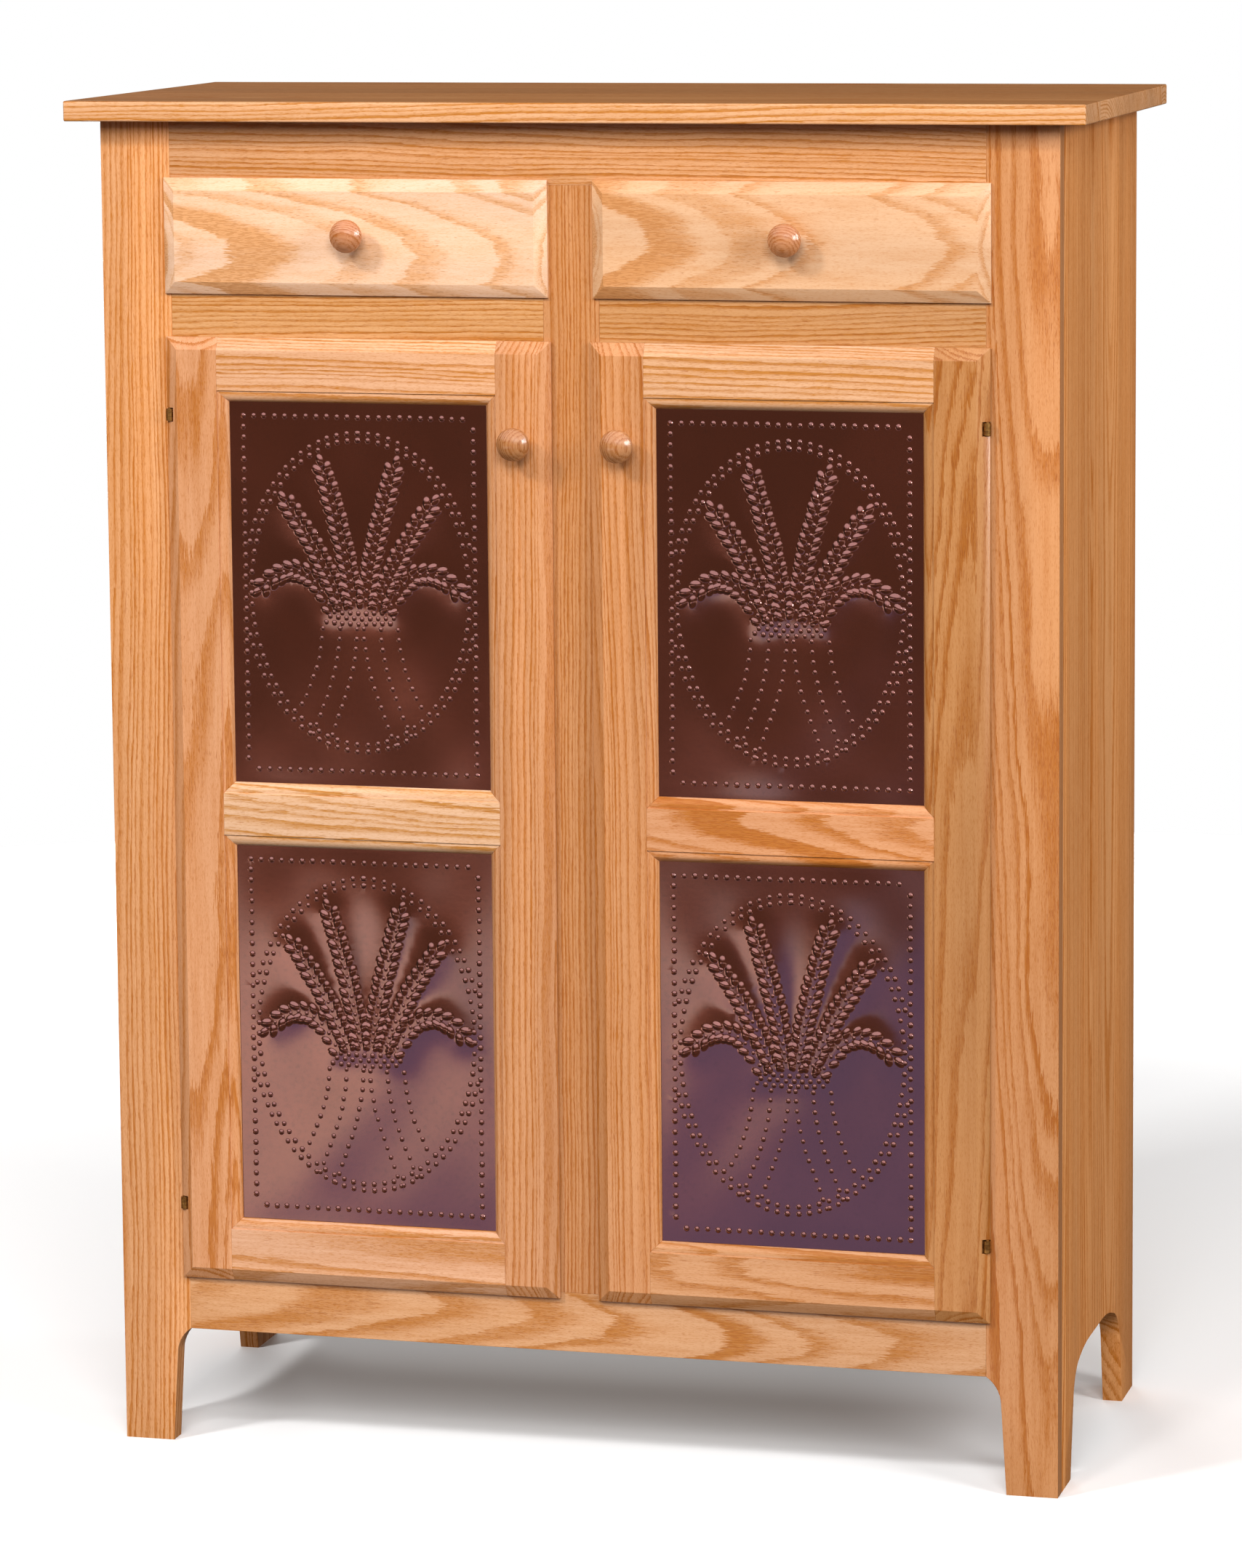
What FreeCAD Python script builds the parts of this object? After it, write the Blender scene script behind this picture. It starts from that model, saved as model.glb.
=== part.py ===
import FreeCAD, Part
import math
import os
import re
import Sketcher

# A pie safe: a small oak cupboard with two drawers over two doors. Each door holds two
# punched copper panels. Millimetres, +Z up, the front looks along -Y, the floor is Z = 0.
# Heights are measured from the floor, depths from the front of the face frame.

SIZES = [
    ("case_width", 862, "across the outsides of the side panels"),
    ("case_depth", 380, "face frame front to the back of the case"),
    ("case_height", 1199, "floor to the underside of the top"),
    ("face_front", -176.3, "Y of the face frame's front"),
    ("frame_thick", 19, "face frame boards"),
    ("panel_thick", 18, "side panels, shelves and case bottom"),
    ("stile_width", 64, "outer stiles of the face frame"),
    ("centre_width", 50.6, "centre stile of the face frame"),
    ("top_rail_low", 1144.6, "lower edge of the top rail"),
    ("mid_rail_high", 1051.4, "upper edge of the rails under the drawers"),
    ("mid_rail_low", 1003.5, "lower edge of the rails under the drawers"),
    ("bottom_rail_high", 159, "upper edge of the bottom rail"),
    ("foot_height", 105.4, "lower edge of the bottom rail"),
    ("foot_width", 45.8, "front foot at the floor"),
    ("foot_neck_width", 50.6, "front foot where its curve ends"),
    ("foot_neck_high", 80.7, "height where the front foot's curve ends"),
    ("foot_curve", 29.6, "radius of the front foot's curve"),
    ("arch_front", 61, "depth of the side arch's front edge at the floor"),
    ("arch_back", 324, "depth of the side arch's back edge at the floor"),
    ("arch_lean", 13, "how far each side foot widens up to its curve"),
    ("arch_spring", 66, "height where the side arch's curves begin"),
    ("arch_haunch", 97, "height where the tight curve meets the flat one"),
    ("arch_haunch_in", 36, "depth of that point past the front edge"),
    ("arch_haunch_back", 50, "depth of that point before the back edge"),
    ("arch_crown_in", 89, "where the crown's flat begins"),
    ("arch_tight", 38, "radius of the side arch's front tight curve"),
    ("arch_rear_tight", 49.4, "radius of the rear tight curve"),
    ("arch_slack", 180, "radius of the side arch's flat curves"),
    ("tenon_thick", 9, "tenons of both frames"),
    ("tenon_front", 5, "depth of the face frame's tenons"),
    ("tenon_length", 30, "tenons that enter the outer stiles"),
    ("stub_length", 20, "tenons of the centre stile and in the centre stile"),
    ("tenon_shoulder", 10, "from a rail's edge to its tenon"),
    ("top_thick", 18, "the top"),
    ("top_side", 26, "overhang of the top at each side"),
    ("top_front", 23.6, "overhang of the top at the front"),
    ("top_back", 9, "overhang of the top at the back"),
    ("top_ease", 1.5, "radius of the top's edges"),
    ("dado_deep", 6, "grooves in the side panels for the shelves"),
    ("back_thick", 9, "back boards"),
    ("back_lap", 9, "how far the back boards reach into the side panels"),
    ("tongue_long", 5, "tongues between the back boards"),
    ("tongue_thick", 3, "tongues between the back boards"),
    ("bay_height", 269.5, "clear height between the shelves"),
    ("runner_thick", 18, "web frame under the drawers"),
    ("runner_half", 60, "half the width of the centre runner and kicker"),
    ("runner_side", 61, "width of the side runners"),
    ("web_back", 60, "width of the rear rail of the web frame"),
    ("guide_high", 20, "drawer guides"),
    ("guide_gap", 1, "between a guide and a drawer side"),
    ("cleat_size", 18, "cleats that hold the top"),
    ("cleat_high", 54, "rear cleat"),
    ("core_gap", 1.5, "around a drawer or door inside its opening"),
    ("drawer_near", 20.3, "drawer front's inner edge from the middle"),
    ("drawer_far", 371.8, "drawer front's outer edge from the middle"),
    ("drawer_low", 1046.4, "drawer front's lower edge"),
    ("drawer_high", 1149, "drawer front's upper edge"),
    ("drawer_proud", 9, "drawer front's face before the face frame"),
    ("drawer_seat", 0.2, "gap behind the drawer front's lip"),
    ("front_thick", 19, "drawer fronts and doors"),
    ("bevel_wide", 11, "bevel round the drawer fronts and doors"),
    ("bevel_deep", 6, "bevel round the drawer fronts and doors"),
    ("box_thick", 12, "drawer sides and backs"),
    ("box_lap", 6, "how far a drawer side enters the drawer front"),
    ("box_low", 1051.9, "lower edge of the drawer sides"),
    ("box_high", 1140, "upper edge of the drawer sides"),
    ("box_back", 345, "depth of the drawer box's back"),
    ("bottom_thick", 6, "drawer bottoms"),
    ("bottom_raise", 10, "drawer bottom over the lower edge of the sides"),
    ("bottom_groove", 6, "grooves that hold the drawer bottoms"),
    ("back_drop", 4, "drawer back below the upper edge of the sides"),
    ("door_near", 17.8, "door's inner edge from the middle"),
    ("door_far", 371.5, "door's outer edge from the middle"),
    ("door_low", 154.3, "door's lower edge"),
    ("door_high", 1008.4, "door's upper edge"),
    ("door_proud", 10.4, "door's face before the face frame"),
    ("door_seat", 1, "gap behind the door's lip"),
    ("hinge_gap", 2, "between the door and its opening at the hinges"),
    ("tin_centre", 195.05, "middle of the copper panels from the middle"),
    ("tin_low_mid", 382.9, "height of the lower copper panel's middle"),
    ("tin_high_mid", 781.2, "height of the upper copper panel's middle"),
    ("sight_width", 236.9, "copper that shows, across"),
    ("sight_high", 341, "copper that shows, upright"),
    ("mould_wide", 9.8, "moulding round each copper panel"),
    ("mould_step", 1.5, "step down at the moulding's outer edge"),
    ("mould_deep", 5.8, "where the moulding's curve ends"),
    ("mould_curve", 8.5, "radius of the moulding's curve"),
    ("rabbet_wide", 9, "rabbet behind the moulding"),
    ("rabbet_depth", 6.7, "front of the rabbet from the door's face"),
    ("tin_width", 254, "copper panel"),
    ("tin_high", 356, "copper panel"),
    ("tin_thick", 0.5, "copper panel"),
    ("stop_size", 8, "strips that hold the copper panels"),
    ("door_tenon_front", -3, "depth of the door tenons' front"),
    ("door_tenon", 8, "thickness of the door tenons"),
    ("door_tenon_long", 25, "length of the door tenons"),
    ("door_tenon_trim", 7, "from a door rail's edge to its tenon"),
    ("knob_radius", 14.7, "wooden knobs"),
    ("knob_long", 26, "wooden knobs"),
    ("knob_foot", 8.5, "radius of the knob's foot"),
    ("knob_neck", 7.2, "radius of the knob's neck"),
    ("knob_neck_high", 9.5, "neck from the foot"),
    ("knob_rim_high", 16.8, "widest part from the foot"),
    ("knob_dome_edge", 12.5, "radius where the dome begins"),
    ("knob_dome_high", 20.5, "dome's edge from the foot"),
    ("knob_flare", 15, "radius of the hollow between foot and neck"),
    ("knob_belly", 8.8, "radius of the head's underside"),
    ("knob_rim", 4.4, "radius of the head's rim"),
    ("drawer_knob_x", 196.5, "drawer knob from the middle"),
    ("drawer_knob_z", 1100, "height of the drawer knobs"),
    ("door_knob_x", 46.5, "door knob from the middle"),
    ("door_knob_z", 920.2, "height of the door knobs"),
    ("bolt_radius", 2, "knob screws"),
    ("bolt_hole", 2.3, "holes for the knob screws"),
    ("bolt_head", 4.5, "heads of the knob screws"),
    ("bolt_head_thick", 2, "heads of the knob screws"),
    ("bolt_bite", 14, "knob screw inside the knob"),
    ("hinge_x", 369.1, "hinge pins from the middle"),
    ("hinge_proud", 4.8, "hinge pins before the face frame"),
    ("hinge_low", 223.5, "height of the lower hinges"),
    ("hinge_high", 939, "height of the upper hinges"),
    ("knuckle_radius", 3.4, "hinge knuckles"),
    ("knuckle_long", 3.4, "each of the three knuckles"),
    ("knuckle_gap", 0.2, "between knuckles"),
    ("pin_radius", 1.5, "hinge pins"),
    ("pin_run", 0.05, "running clearance of the door's knuckles"),
    ("pin_end", 0.8, "pin beyond the knuckles"),
    ("notch_half", 6.2, "half the height of the notch for a hinge"),
    ("leaf_thick", 0.8, "hinge leaves"),
    ("leaf_half", 20, "half the height of a hinge leaf"),
    ("leaf_deep", 15, "frame leaf's back edge"),
    ("leaf_screw", 12, "hinge screws from the middle of a leaf"),
    ("wood_screw", 1.3, "radius of a hinge screw"),
    ("wood_screw_head", 2.6, "radius of a hinge screw's head"),
    ("wood_screw_sink", 1.4, "depth of a hinge screw's head"),
    ("wood_screw_long", 14, "hinge screw"),
    ("top_screw", 2.2, "radius of the screws in the top"),
    ("top_screw_head", 4.2, "radius of their heads"),
    ("top_screw_sink", 2.6, "depth of their heads"),
    ("top_screw_long", 30, "their length"),
    ("catch_near", 70, "magnetic catch from the middle"),
    ("catch_wide", 40, "magnetic catch"),
    ("catch_high", 14, "magnetic catch"),
    ("catch_front", 10.4, "depth of the catch's front"),
    ("catch_deep", 14, "magnetic catch"),
    ("strike_thick", 1.2, "strike plate on the door"),
    ("strike_trim", 2, "strike plate inside the catch's outline"),
]

BACK_BOARDS = 5
TOP_SCREW_DEPTHS = ("70", "case_depth / 2", "case_depth - 70")

DOC = FreeCAD.newDocument("pie_safe")
SHEET = DOC.addObject("Spreadsheet::Sheet", "sizes")
NODES = []


def fill_sheet():
    """Write each size, its name and what it measures into one row of the sheet."""
    for row, (alias, value, meaning) in enumerate(SIZES, start=1):
        SHEET.set(f"A{row}", meaning)
        SHEET.set(f"B{row}", str(value))
        SHEET.setAlias(f"B{row}", alias)
    SHEET.recompute()


def cells(formula):
    """The formula with each size's name turned into a reference to the sheet."""
    return re.sub(r"[a-z][a-z_]+", lambda word: "sizes." + word.group(), formula)


def number(formula):
    """The formula's present value."""
    return float(SHEET.evalExpression(cells(formula)))


def bind(item, **formulas):
    """Tie properties of an object to the sheet."""
    for name, formula in formulas.items():
        item.setExpression(name, cells(formula))
    return item


def place(item, x="0", y="0", z="0"):
    """Put an object's origin at x, at depth y behind the face frame's front, at height z."""
    item.setExpression("Placement.Base.x", cells(x))
    item.setExpression("Placement.Base.y", cells(f"face_front + ({y})"))
    item.setExpression("Placement.Base.z", cells(z))
    return item


def box(label, x, y, z):
    """A board between pairs of formulas, each (low, high)."""
    item = DOC.addObject("Part::Box", label)
    bind(item, Length=f"({x[1]}) - ({x[0]})", Width=f"({y[1]}) - ({y[0]})",
         Height=f"({z[1]}) - ({z[0]})")
    return place(item, x[0], y[0], z[0])


def round_bar(label, radius, length, x, y, z, axis=(0, 0, 1), end_radius=None):
    """A cylinder, or a cone when end_radius is given, that starts at x, y, z along axis."""
    kind = "Part::Cylinder" if end_radius is None else "Part::Cone"
    item = DOC.addObject(kind, label)
    bind(item, Height=length)
    if end_radius is None:
        bind(item, Radius=radius)
    else:
        bind(item, Radius1=radius, Radius2=end_radius)
    upright = FreeCAD.Vector(0, 0, 1)
    item.Placement.Rotation = FreeCAD.Rotation(upright, FreeCAD.Vector(*axis))
    return place(item, x, y, z)


def fuse(label, *pieces):
    item = DOC.addObject("Part::MultiFuse", label)
    item.Shapes = list(pieces)
    item.Refine = True
    return item


def cut(label, base, *tools):
    item = DOC.addObject("Part::Cut", label)
    item.Base = base
    item.Tool = tools[0] if len(tools) == 1 else fuse(label + "_tools", *tools)
    item.Refine = True
    return item


def common(label, one, other):
    item = DOC.addObject("Part::Common", label)
    item.Base = one
    item.Tool = other
    return item


def group(label, pieces):
    """Several separate solids that make one sub-part."""
    item = DOC.addObject("Part::Compound", label)
    item.Links = list(pieces)
    return item


def mirrored(label, source):
    """The same piece on the other side of the middle."""
    item = DOC.addObject("Part::Mirroring", label)
    item.Source = source
    item.Normal = FreeCAD.Vector(1, 0, 0)
    return item


def node(name, item):
    """Make an object one of the sub-parts, with its own name."""
    item.Label = name
    NODES.append(item)
    return item


def node_pair(name, item):
    """A right-hand sub-part and its mirror image on the left."""
    node("right_" + name, item)
    node("left_" + name, mirrored("left_" + name, item))


def both_sides(label, pieces):
    """Pieces on the right and their mirror images on the left, in one sub-part."""
    return group(label, pieces + [mirrored(item.Name + "_left", item) for item in pieces])


def arc_between(start, end, radius, side):
    """The short arc from start to end; side is +1 when its centre is left of the way."""
    chord = end - start
    half = chord.Length / 2
    across = FreeCAD.Vector(-chord.y, chord.x, 0).normalize() * side
    middle = (start + end) * 0.5
    centre = middle + across * math.sqrt(radius ** 2 - half ** 2)
    crown = centre - across * radius
    return Part.Arc(start, crown, end)


def dome_radius(edge, crown):
    """The radius of an arc from an edge to a crown on the axis that holds its centre."""
    rise = abs(edge.y - crown.y)
    return (edge.x ** 2 + rise ** 2) / (2 * rise)


def pin_down(sketch, axis, curve, spot, formula):
    """Fix one coordinate of a sketch point to a formula, measured from the origin."""
    value = number(formula)
    if abs(value) < 1e-9:
        line = -2 if axis == "X" else -1
        sketch.addConstraint(Sketcher.Constraint("PointOnObject", curve, spot, line))
        return
    if value > 0:
        ends = (-1, 1, curve, spot)
        text = formula
    else:
        ends = (curve, spot, -1, 1)
        text = f"-({formula})"
    row = sketch.addConstraint(Sketcher.Constraint("Distance" + axis, *ends, abs(value)))
    sketch.setExpression(f"Constraints[{row}]", cells(text))


def outline(body, role, points, arcs=()):
    """A closed sketch on one of the body's origin planes.

    points are pairs of formulas. arcs gives, by the number of the point where it starts, an
    arc's radius and the side of its centre; the other stretches are straight. An arc whose
    radius is None ends on the upright axis and has its centre there.
    """
    sketch = body.newObject("Sketcher::SketchObject", body.Name + "_outline")
    plane = [item for item in body.Origin.OriginFeatures if item.Role == role][0]
    sketch.AttachmentSupport = [(plane, "")]
    sketch.MapMode = "FlatFace"
    spots = [FreeCAD.Vector(number(u), number(v), 0) for u, v in points]
    rounds = dict(arcs)
    ends = []
    for index, start in enumerate(spots):
        end = spots[(index + 1) % len(spots)]
        if index in rounds and rounds[index][0] is None:
            curve = sketch.addGeometry(arc_between(start, end, dome_radius(start, end),
                                                   rounds[index][1]))
            sketch.addConstraint(Sketcher.Constraint("PointOnObject", curve, 3, -2))
        elif index in rounds:
            radius, side = rounds[index]
            curve = sketch.addGeometry(arc_between(start, end, number(radius), side))
            row = sketch.addConstraint(Sketcher.Constraint("Radius", curve, number(radius)))
            sketch.setExpression(f"Constraints[{row}]", cells(radius))
        else:
            curve = sketch.addGeometry(Part.LineSegment(start, end))
        first = 1 if sketch.getPoint(curve, 1).distanceToPoint(start) < 1e-6 else 2
        ends.append((curve, first, 3 - first))
    for index, (curve, first, _) in enumerate(ends):
        before, _, last = ends[index - 1]
        sketch.addConstraint(Sketcher.Constraint("Coincident", before, last, curve, first))
        pin_down(sketch, "X", curve, first, points[index][0])
        pin_down(sketch, "Y", curve, first, points[index][1])
    return sketch


def padded(label, role, points, length, arcs=(), **where):
    """A body padded from an outline, towards +X, +Y or +Z from its plane."""
    body = DOC.addObject("PartDesign::Body", label)
    sketch = outline(body, role, points, arcs)
    pad = body.newObject("PartDesign::Pad", label + "_pad")
    pad.Profile = sketch
    pad.Reversed = role == "XZ_Plane"
    bind(pad, Length=length)
    return place(body, **where)


def wood_screw(label, kind, x, y, z, axis):
    """A countersunk screw whose head starts at x, y, z; kind is the first word of its sizes."""
    head = round_bar(label + "_head", f"{kind}_head", f"{kind}_sink", x, y, z, axis, kind)
    shank = round_bar(label + "_shank", kind, f"{kind}_long", x, y, z, axis)
    return fuse(label, head, shank)


def tenon(label, x, z):
    """A tenon of the face frame."""
    return box(label, x, ("tenon_front", "tenon_front + tenon_thick"), z)


def make_top():
    half = "case_width / 2 + top_side"
    slab = box("top_slab", (f"-({half})", half), ("-top_front", "case_depth + top_back"),
               ("case_height", "case_height + top_thick"))
    eased = DOC.addObject("Part::Fillet", "top_eased")
    eased.Base = slab
    ease = number("top_ease")
    eased.Edges = [(edge, ease, ease) for edge in range(1, 13)]
    node("top", eased)


def make_face_frame():
    edge = "case_width / 2 - stile_width"
    middle = "centre_width / 2"
    depth = ("0", "frame_thick")
    rails = {
        "top_rail": ("top_rail_low", "case_height"),
        "mid_rail": ("mid_rail_low", "mid_rail_high"),
        "bottom_rail": ("foot_height", "bottom_rail_high"),
    }
    outer = {}
    for name, (low, high) in rails.items():
        span = (f"{low} + tenon_shoulder", f"{high} - tenon_shoulder")
        outer[name] = tenon(name + "_tenon", (edge, f"{edge} + tenon_length"), span)
    inner = tenon("mid_rail_stub", (f"{middle} - stub_length", middle),
                  ("mid_rail_low + tenon_shoulder", "mid_rail_high - tenon_shoulder"))

    foot = [
        (edge, "foot_height"),
        (edge, "case_height"),
        ("case_width / 2", "case_height"),
        ("case_width / 2", "0"),
        ("case_width / 2 - foot_width", "0"),
        ("case_width / 2 - foot_neck_width", "foot_neck_high"),
    ]
    stile = padded("stile_blank", "XZ_Plane", foot, "frame_thick", {5: ("foot_curve", 1)})
    node_pair("stile", cut("stile_mortised", stile, *outer.values()))

    mid_board = box("mid_rail_board", (middle, edge), depth, rails["mid_rail"])
    node_pair("mid_rail", fuse("mid_rail_tenoned", mid_board, outer["mid_rail"], inner))

    stub_x = (f"-({middle}) + tenon_shoulder", f"{middle} - tenon_shoulder")
    stubs = {
        "top_rail": tenon("centre_top_stub", stub_x,
                          ("top_rail_low", "top_rail_low + stub_length")),
        "bottom_rail": tenon("centre_low_stub", stub_x,
                             ("bottom_rail_high - stub_length", "bottom_rail_high")),
    }
    for name, stub in stubs.items():
        board = box(name + "_board", (f"-({edge})", edge), depth, rails[name])
        far = mirrored(name + "_far_tenon", outer[name])
        joined = fuse(name + "_tenoned", board, outer[name], far)
        node(name, cut(name + "_mortised", joined, stub))

    post = box("centre_board", (f"-({middle})", middle), depth,
               ("bottom_rail_high", "top_rail_low"))
    tenoned = fuse("centre_tenoned", post, *stubs.values())
    far = mirrored("mid_rail_far_stub", inner)
    node("centre_stile", cut("centre_mortised", tenoned, inner, far))


def make_case_boards():
    inside = "case_width / 2 - panel_thick"
    housed = f"{inside} + dado_deep"
    behind = ("frame_thick", "case_depth - back_thick")
    shelves = {
        "case_bottom": "bottom_rail_high - panel_thick",
        "lower_shelf": "bottom_rail_high + bay_height",
        "upper_shelf": "bottom_rail_high + 2 * bay_height + panel_thick",
    }
    boards = []
    for name, low in shelves.items():
        board = box(name, (f"-({housed})", housed), behind, (low, f"{low} + panel_thick"))
        boards.append(node(name, board))

    side = [
        ("frame_thick", "0"),
        ("arch_front", "0"),
        ("arch_front + arch_lean", "arch_spring"),
        ("arch_front + arch_haunch_in", "arch_haunch"),
        ("arch_front + arch_crown_in", "foot_height"),
        ("arch_back - arch_crown_in - arch_lean", "foot_height"),
        ("arch_back - arch_haunch_back", "arch_haunch"),
        ("arch_back - arch_lean", "arch_spring"),
        ("arch_back", "0"),
        ("case_depth", "0"),
        ("case_depth", "case_height"),
        ("frame_thick", "case_height"),
    ]
    curves = {2: ("arch_tight", -1), 3: ("arch_slack", -1),
              5: ("arch_slack", -1), 6: ("arch_rear_tight", -1)}
    panel = padded("side_blank", "YZ_Plane", side, "panel_thick", curves, x=inside)
    rabbet = box("side_rabbet", (inside, f"{inside} + back_lap"),
                 ("case_depth - back_thick", "case_depth"),
                 (shelves["case_bottom"], "case_height"))
    node_pair("side_panel", cut("side_grooved", panel, rabbet, *boards))

    make_back(f"{inside} + back_lap", shelves["case_bottom"])
    make_drawer_supports(inside, behind)
    make_cleats(inside)


def make_back(half, low):
    """Tongued and grooved boards, let into the side panels."""
    depth = ("case_depth - back_thick", "case_depth")
    middle = "case_depth - back_thick / 2"
    tongue_depth = (f"{middle} - tongue_thick / 2", f"{middle} + tongue_thick / 2")
    span = (low, "case_height")
    tongues = []
    for seam in range(1, BACK_BOARDS):
        start = f"-({half}) + {seam} * 2 * ({half}) / {BACK_BOARDS}"
        tongues.append(box(f"tongue_{seam}", (start, f"{start} + tongue_long"),
                           tongue_depth, span))
    boards = []
    for index in range(BACK_BOARDS):
        start = f"-({half}) + {index} * 2 * ({half}) / {BACK_BOARDS}"
        end = f"-({half}) + {index + 1} * 2 * ({half}) / {BACK_BOARDS}"
        board = box(f"back_plank_{index}", (start, end), depth, span)
        if index > 0:
            board = cut(f"back_grooved_{index}", board, tongues[index - 1])
        if index < BACK_BOARDS - 1:
            board = fuse(f"back_tongued_{index}", board, tongues[index])
        boards.append(board)
    node("back_boards", group("back", boards))


def make_drawer_supports(inside, behind):
    """The web frame that the drawers run on, their guides and the kicker over them."""
    level = ("mid_rail_high - runner_thick", "mid_rail_high")
    web_start = "case_depth - back_thick - web_back"
    runners = {
        "right_runner": (f"{inside} - runner_side", inside),
        "left_runner": (f"-({inside})", f"-({inside}) + runner_side"),
        "centre_runner": ("-runner_half", "runner_half"),
    }
    web = [box(name, x, (behind[0], web_start), level) for name, x in runners.items()]
    web.append(box("web_rear", (f"-({inside})", inside), (web_start, behind[1]), level))
    node("drawer_web_frame", group("web", web))

    far = "case_width / 2 - stile_width - core_gap + guide_gap"
    near = "centre_width / 2 + core_gap - guide_gap"
    rise = ("mid_rail_high", "mid_rail_high + guide_high")
    guides = [
        box("right_guide", (far, inside), behind, rise),
        box("left_guide", (f"-({inside})", f"-({far})"), behind, rise),
        box("centre_guide", (f"-({near})", near), behind, rise),
        box("kicker", ("-runner_half", "runner_half"),
            (behind[0], "case_depth - back_thick - cleat_size"),
            ("top_rail_low", "top_rail_low + runner_thick")),
    ]
    node("drawer_guides", group("guides", guides))


def make_cleats(inside):
    """Cleats under the top, and the screws that hold it."""
    rear = "case_depth - back_thick - cleat_size"
    under = ("case_height - cleat_size", "case_height")
    cleats = [
        box("right_cleat", (f"{inside} - cleat_size", inside), ("frame_thick", rear), under),
        box("left_cleat", (f"-({inside})", f"-({inside}) + cleat_size"),
            ("frame_thick", rear), under),
        box("rear_cleat", (f"-({inside})", inside), (rear, "case_depth - back_thick"),
            ("case_height - cleat_high", "case_height")),
    ]
    node("top_cleats", group("cleats", cleats))
    reach = f"{inside} - cleat_size / 2"
    screws = []
    for index, depth in enumerate(TOP_SCREW_DEPTHS):
        for side, x in (("right", reach), ("left", f"-({reach})")):
            screws.append(wood_screw(f"{side}_top_screw_{index}", "top_screw", x, depth,
                                     "case_height - cleat_size", (0, 0, 1)))
    node("top_screws", group("top_fixings", screws))


def raised_board(label, x, z, proud, seat, core_x, core_z):
    """A lipped front: a bevelled lip over the frame and a core that enters the opening."""
    lip = box(label + "_lip", x, (f"-{proud} + bevel_deep", f"-{seat}"), z)
    core = box(label + "_core", core_x, (f"-{seat}", f"front_thick - {proud}"), core_z)
    bevel = DOC.addObject("Part::Wedge", label + "_bevel")
    bind(bevel, Xmin=f"{x[0]} + bevel_wide", Xmax=f"{x[1]} - bevel_wide",
         Zmin=f"{z[0]} + bevel_wide", Zmax=f"{z[1]} - bevel_wide",
         X2min=x[0], X2max=x[1], Z2min=z[0], Z2max=z[1],
         Ymin="0", Ymax="bevel_deep")
    place(bevel, y=f"-{proud}")
    return fuse(label, lip, bevel, core)


def knob(label, x, y, z):
    """A turned knob: a flared foot, a narrow neck and a domed head."""
    body = DOC.addObject("PartDesign::Body", label)
    profile = [
        ("0", "0"),
        ("knob_foot", "0"),
        ("knob_neck", "-knob_neck_high"),
        ("knob_radius", "-knob_rim_high"),
        ("knob_dome_edge", "-knob_dome_high"),
        ("0", "-knob_long"),
    ]
    curves = {1: ("knob_flare", 1), 2: ("knob_belly", -1), 3: ("knob_rim", -1),
              4: (None, -1)}
    sketch = outline(body, "XY_Plane", profile, curves)
    turning = body.newObject("PartDesign::Revolution", label + "_turning")
    turning.Profile = sketch
    turning.ReferenceAxis = (sketch, ["V_Axis"])
    turning.Angle = 360
    return place(body, x, y, z)


def knob_screw(label, x, back, proud, z):
    """The screw that enters from behind; back is the depth of the wood's rear face."""
    head = round_bar(label + "_head", "bolt_head", "bolt_head_thick", x,
                     f"{back} + bolt_head_thick", z, (0, -1, 0))
    shank = round_bar(label + "_shank", "bolt_radius",
                      f"{back} + {proud} + bolt_bite + bolt_head_thick", x,
                      f"{back} + bolt_head_thick", z, (0, -1, 0))
    return fuse(label, head, shank)


def knob_hole(label, x, back, proud, z):
    return round_bar(label, "bolt_hole", f"{back} + {proud} + 2", x, f"{back} + 1", z,
                     (0, -1, 0))


def make_drawer():
    near = "centre_width / 2 + core_gap"
    far = "case_width / 2 - stile_width - core_gap"
    back = "front_thick - drawer_proud"
    rebate = f"{back} - box_lap"
    core_z = ("mid_rail_high + core_gap", "top_rail_low - core_gap")
    blank = raised_board("drawer_blank", ("drawer_near", "drawer_far"),
                         ("drawer_low", "drawer_high"), "drawer_proud", "drawer_seat",
                         (near, far), core_z)
    base = ("box_low + bottom_raise", "box_low + bottom_raise + bottom_thick")
    sole = box("drawer_sole",
               (f"{near} + box_thick - bottom_groove", f"{far} - box_thick + bottom_groove"),
               (rebate, "box_back"), base)
    node_pair("drawer_bottom", sole)

    sides = {
        "drawer_inner_side": (near, f"{near} + box_thick"),
        "drawer_outer_side": (f"{far} - box_thick", far),
    }
    rebates = []
    for name, x in sides.items():
        board = box(name + "_board", x, (rebate, "box_back"), ("box_low", "box_high"))
        node_pair(name, cut(name + "_grooved", board, sole))
        rebates.append(box(name + "_rebate", x, (rebate, back), core_z))

    hole = knob_hole("drawer_knob_hole", "drawer_knob_x", back, "drawer_proud",
                     "drawer_knob_z")
    node_pair("drawer_front", cut("drawer_face", blank, sole, hole, *rebates))
    node_pair("drawer_back", box("drawer_rear", (f"{near} + box_thick", f"{far} - box_thick"),
                                 ("box_back - box_thick", "box_back"),
                                 (base[1], "box_high - back_drop")))
    node_pair("drawer_knob", knob("drawer_pull", "drawer_knob_x", "-drawer_proud",
                                  "drawer_knob_z"))
    node_pair("drawer_knob_screw", knob_screw("drawer_bolt", "drawer_knob_x", back,
                                              "drawer_proud", "drawer_knob_z"))


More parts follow.
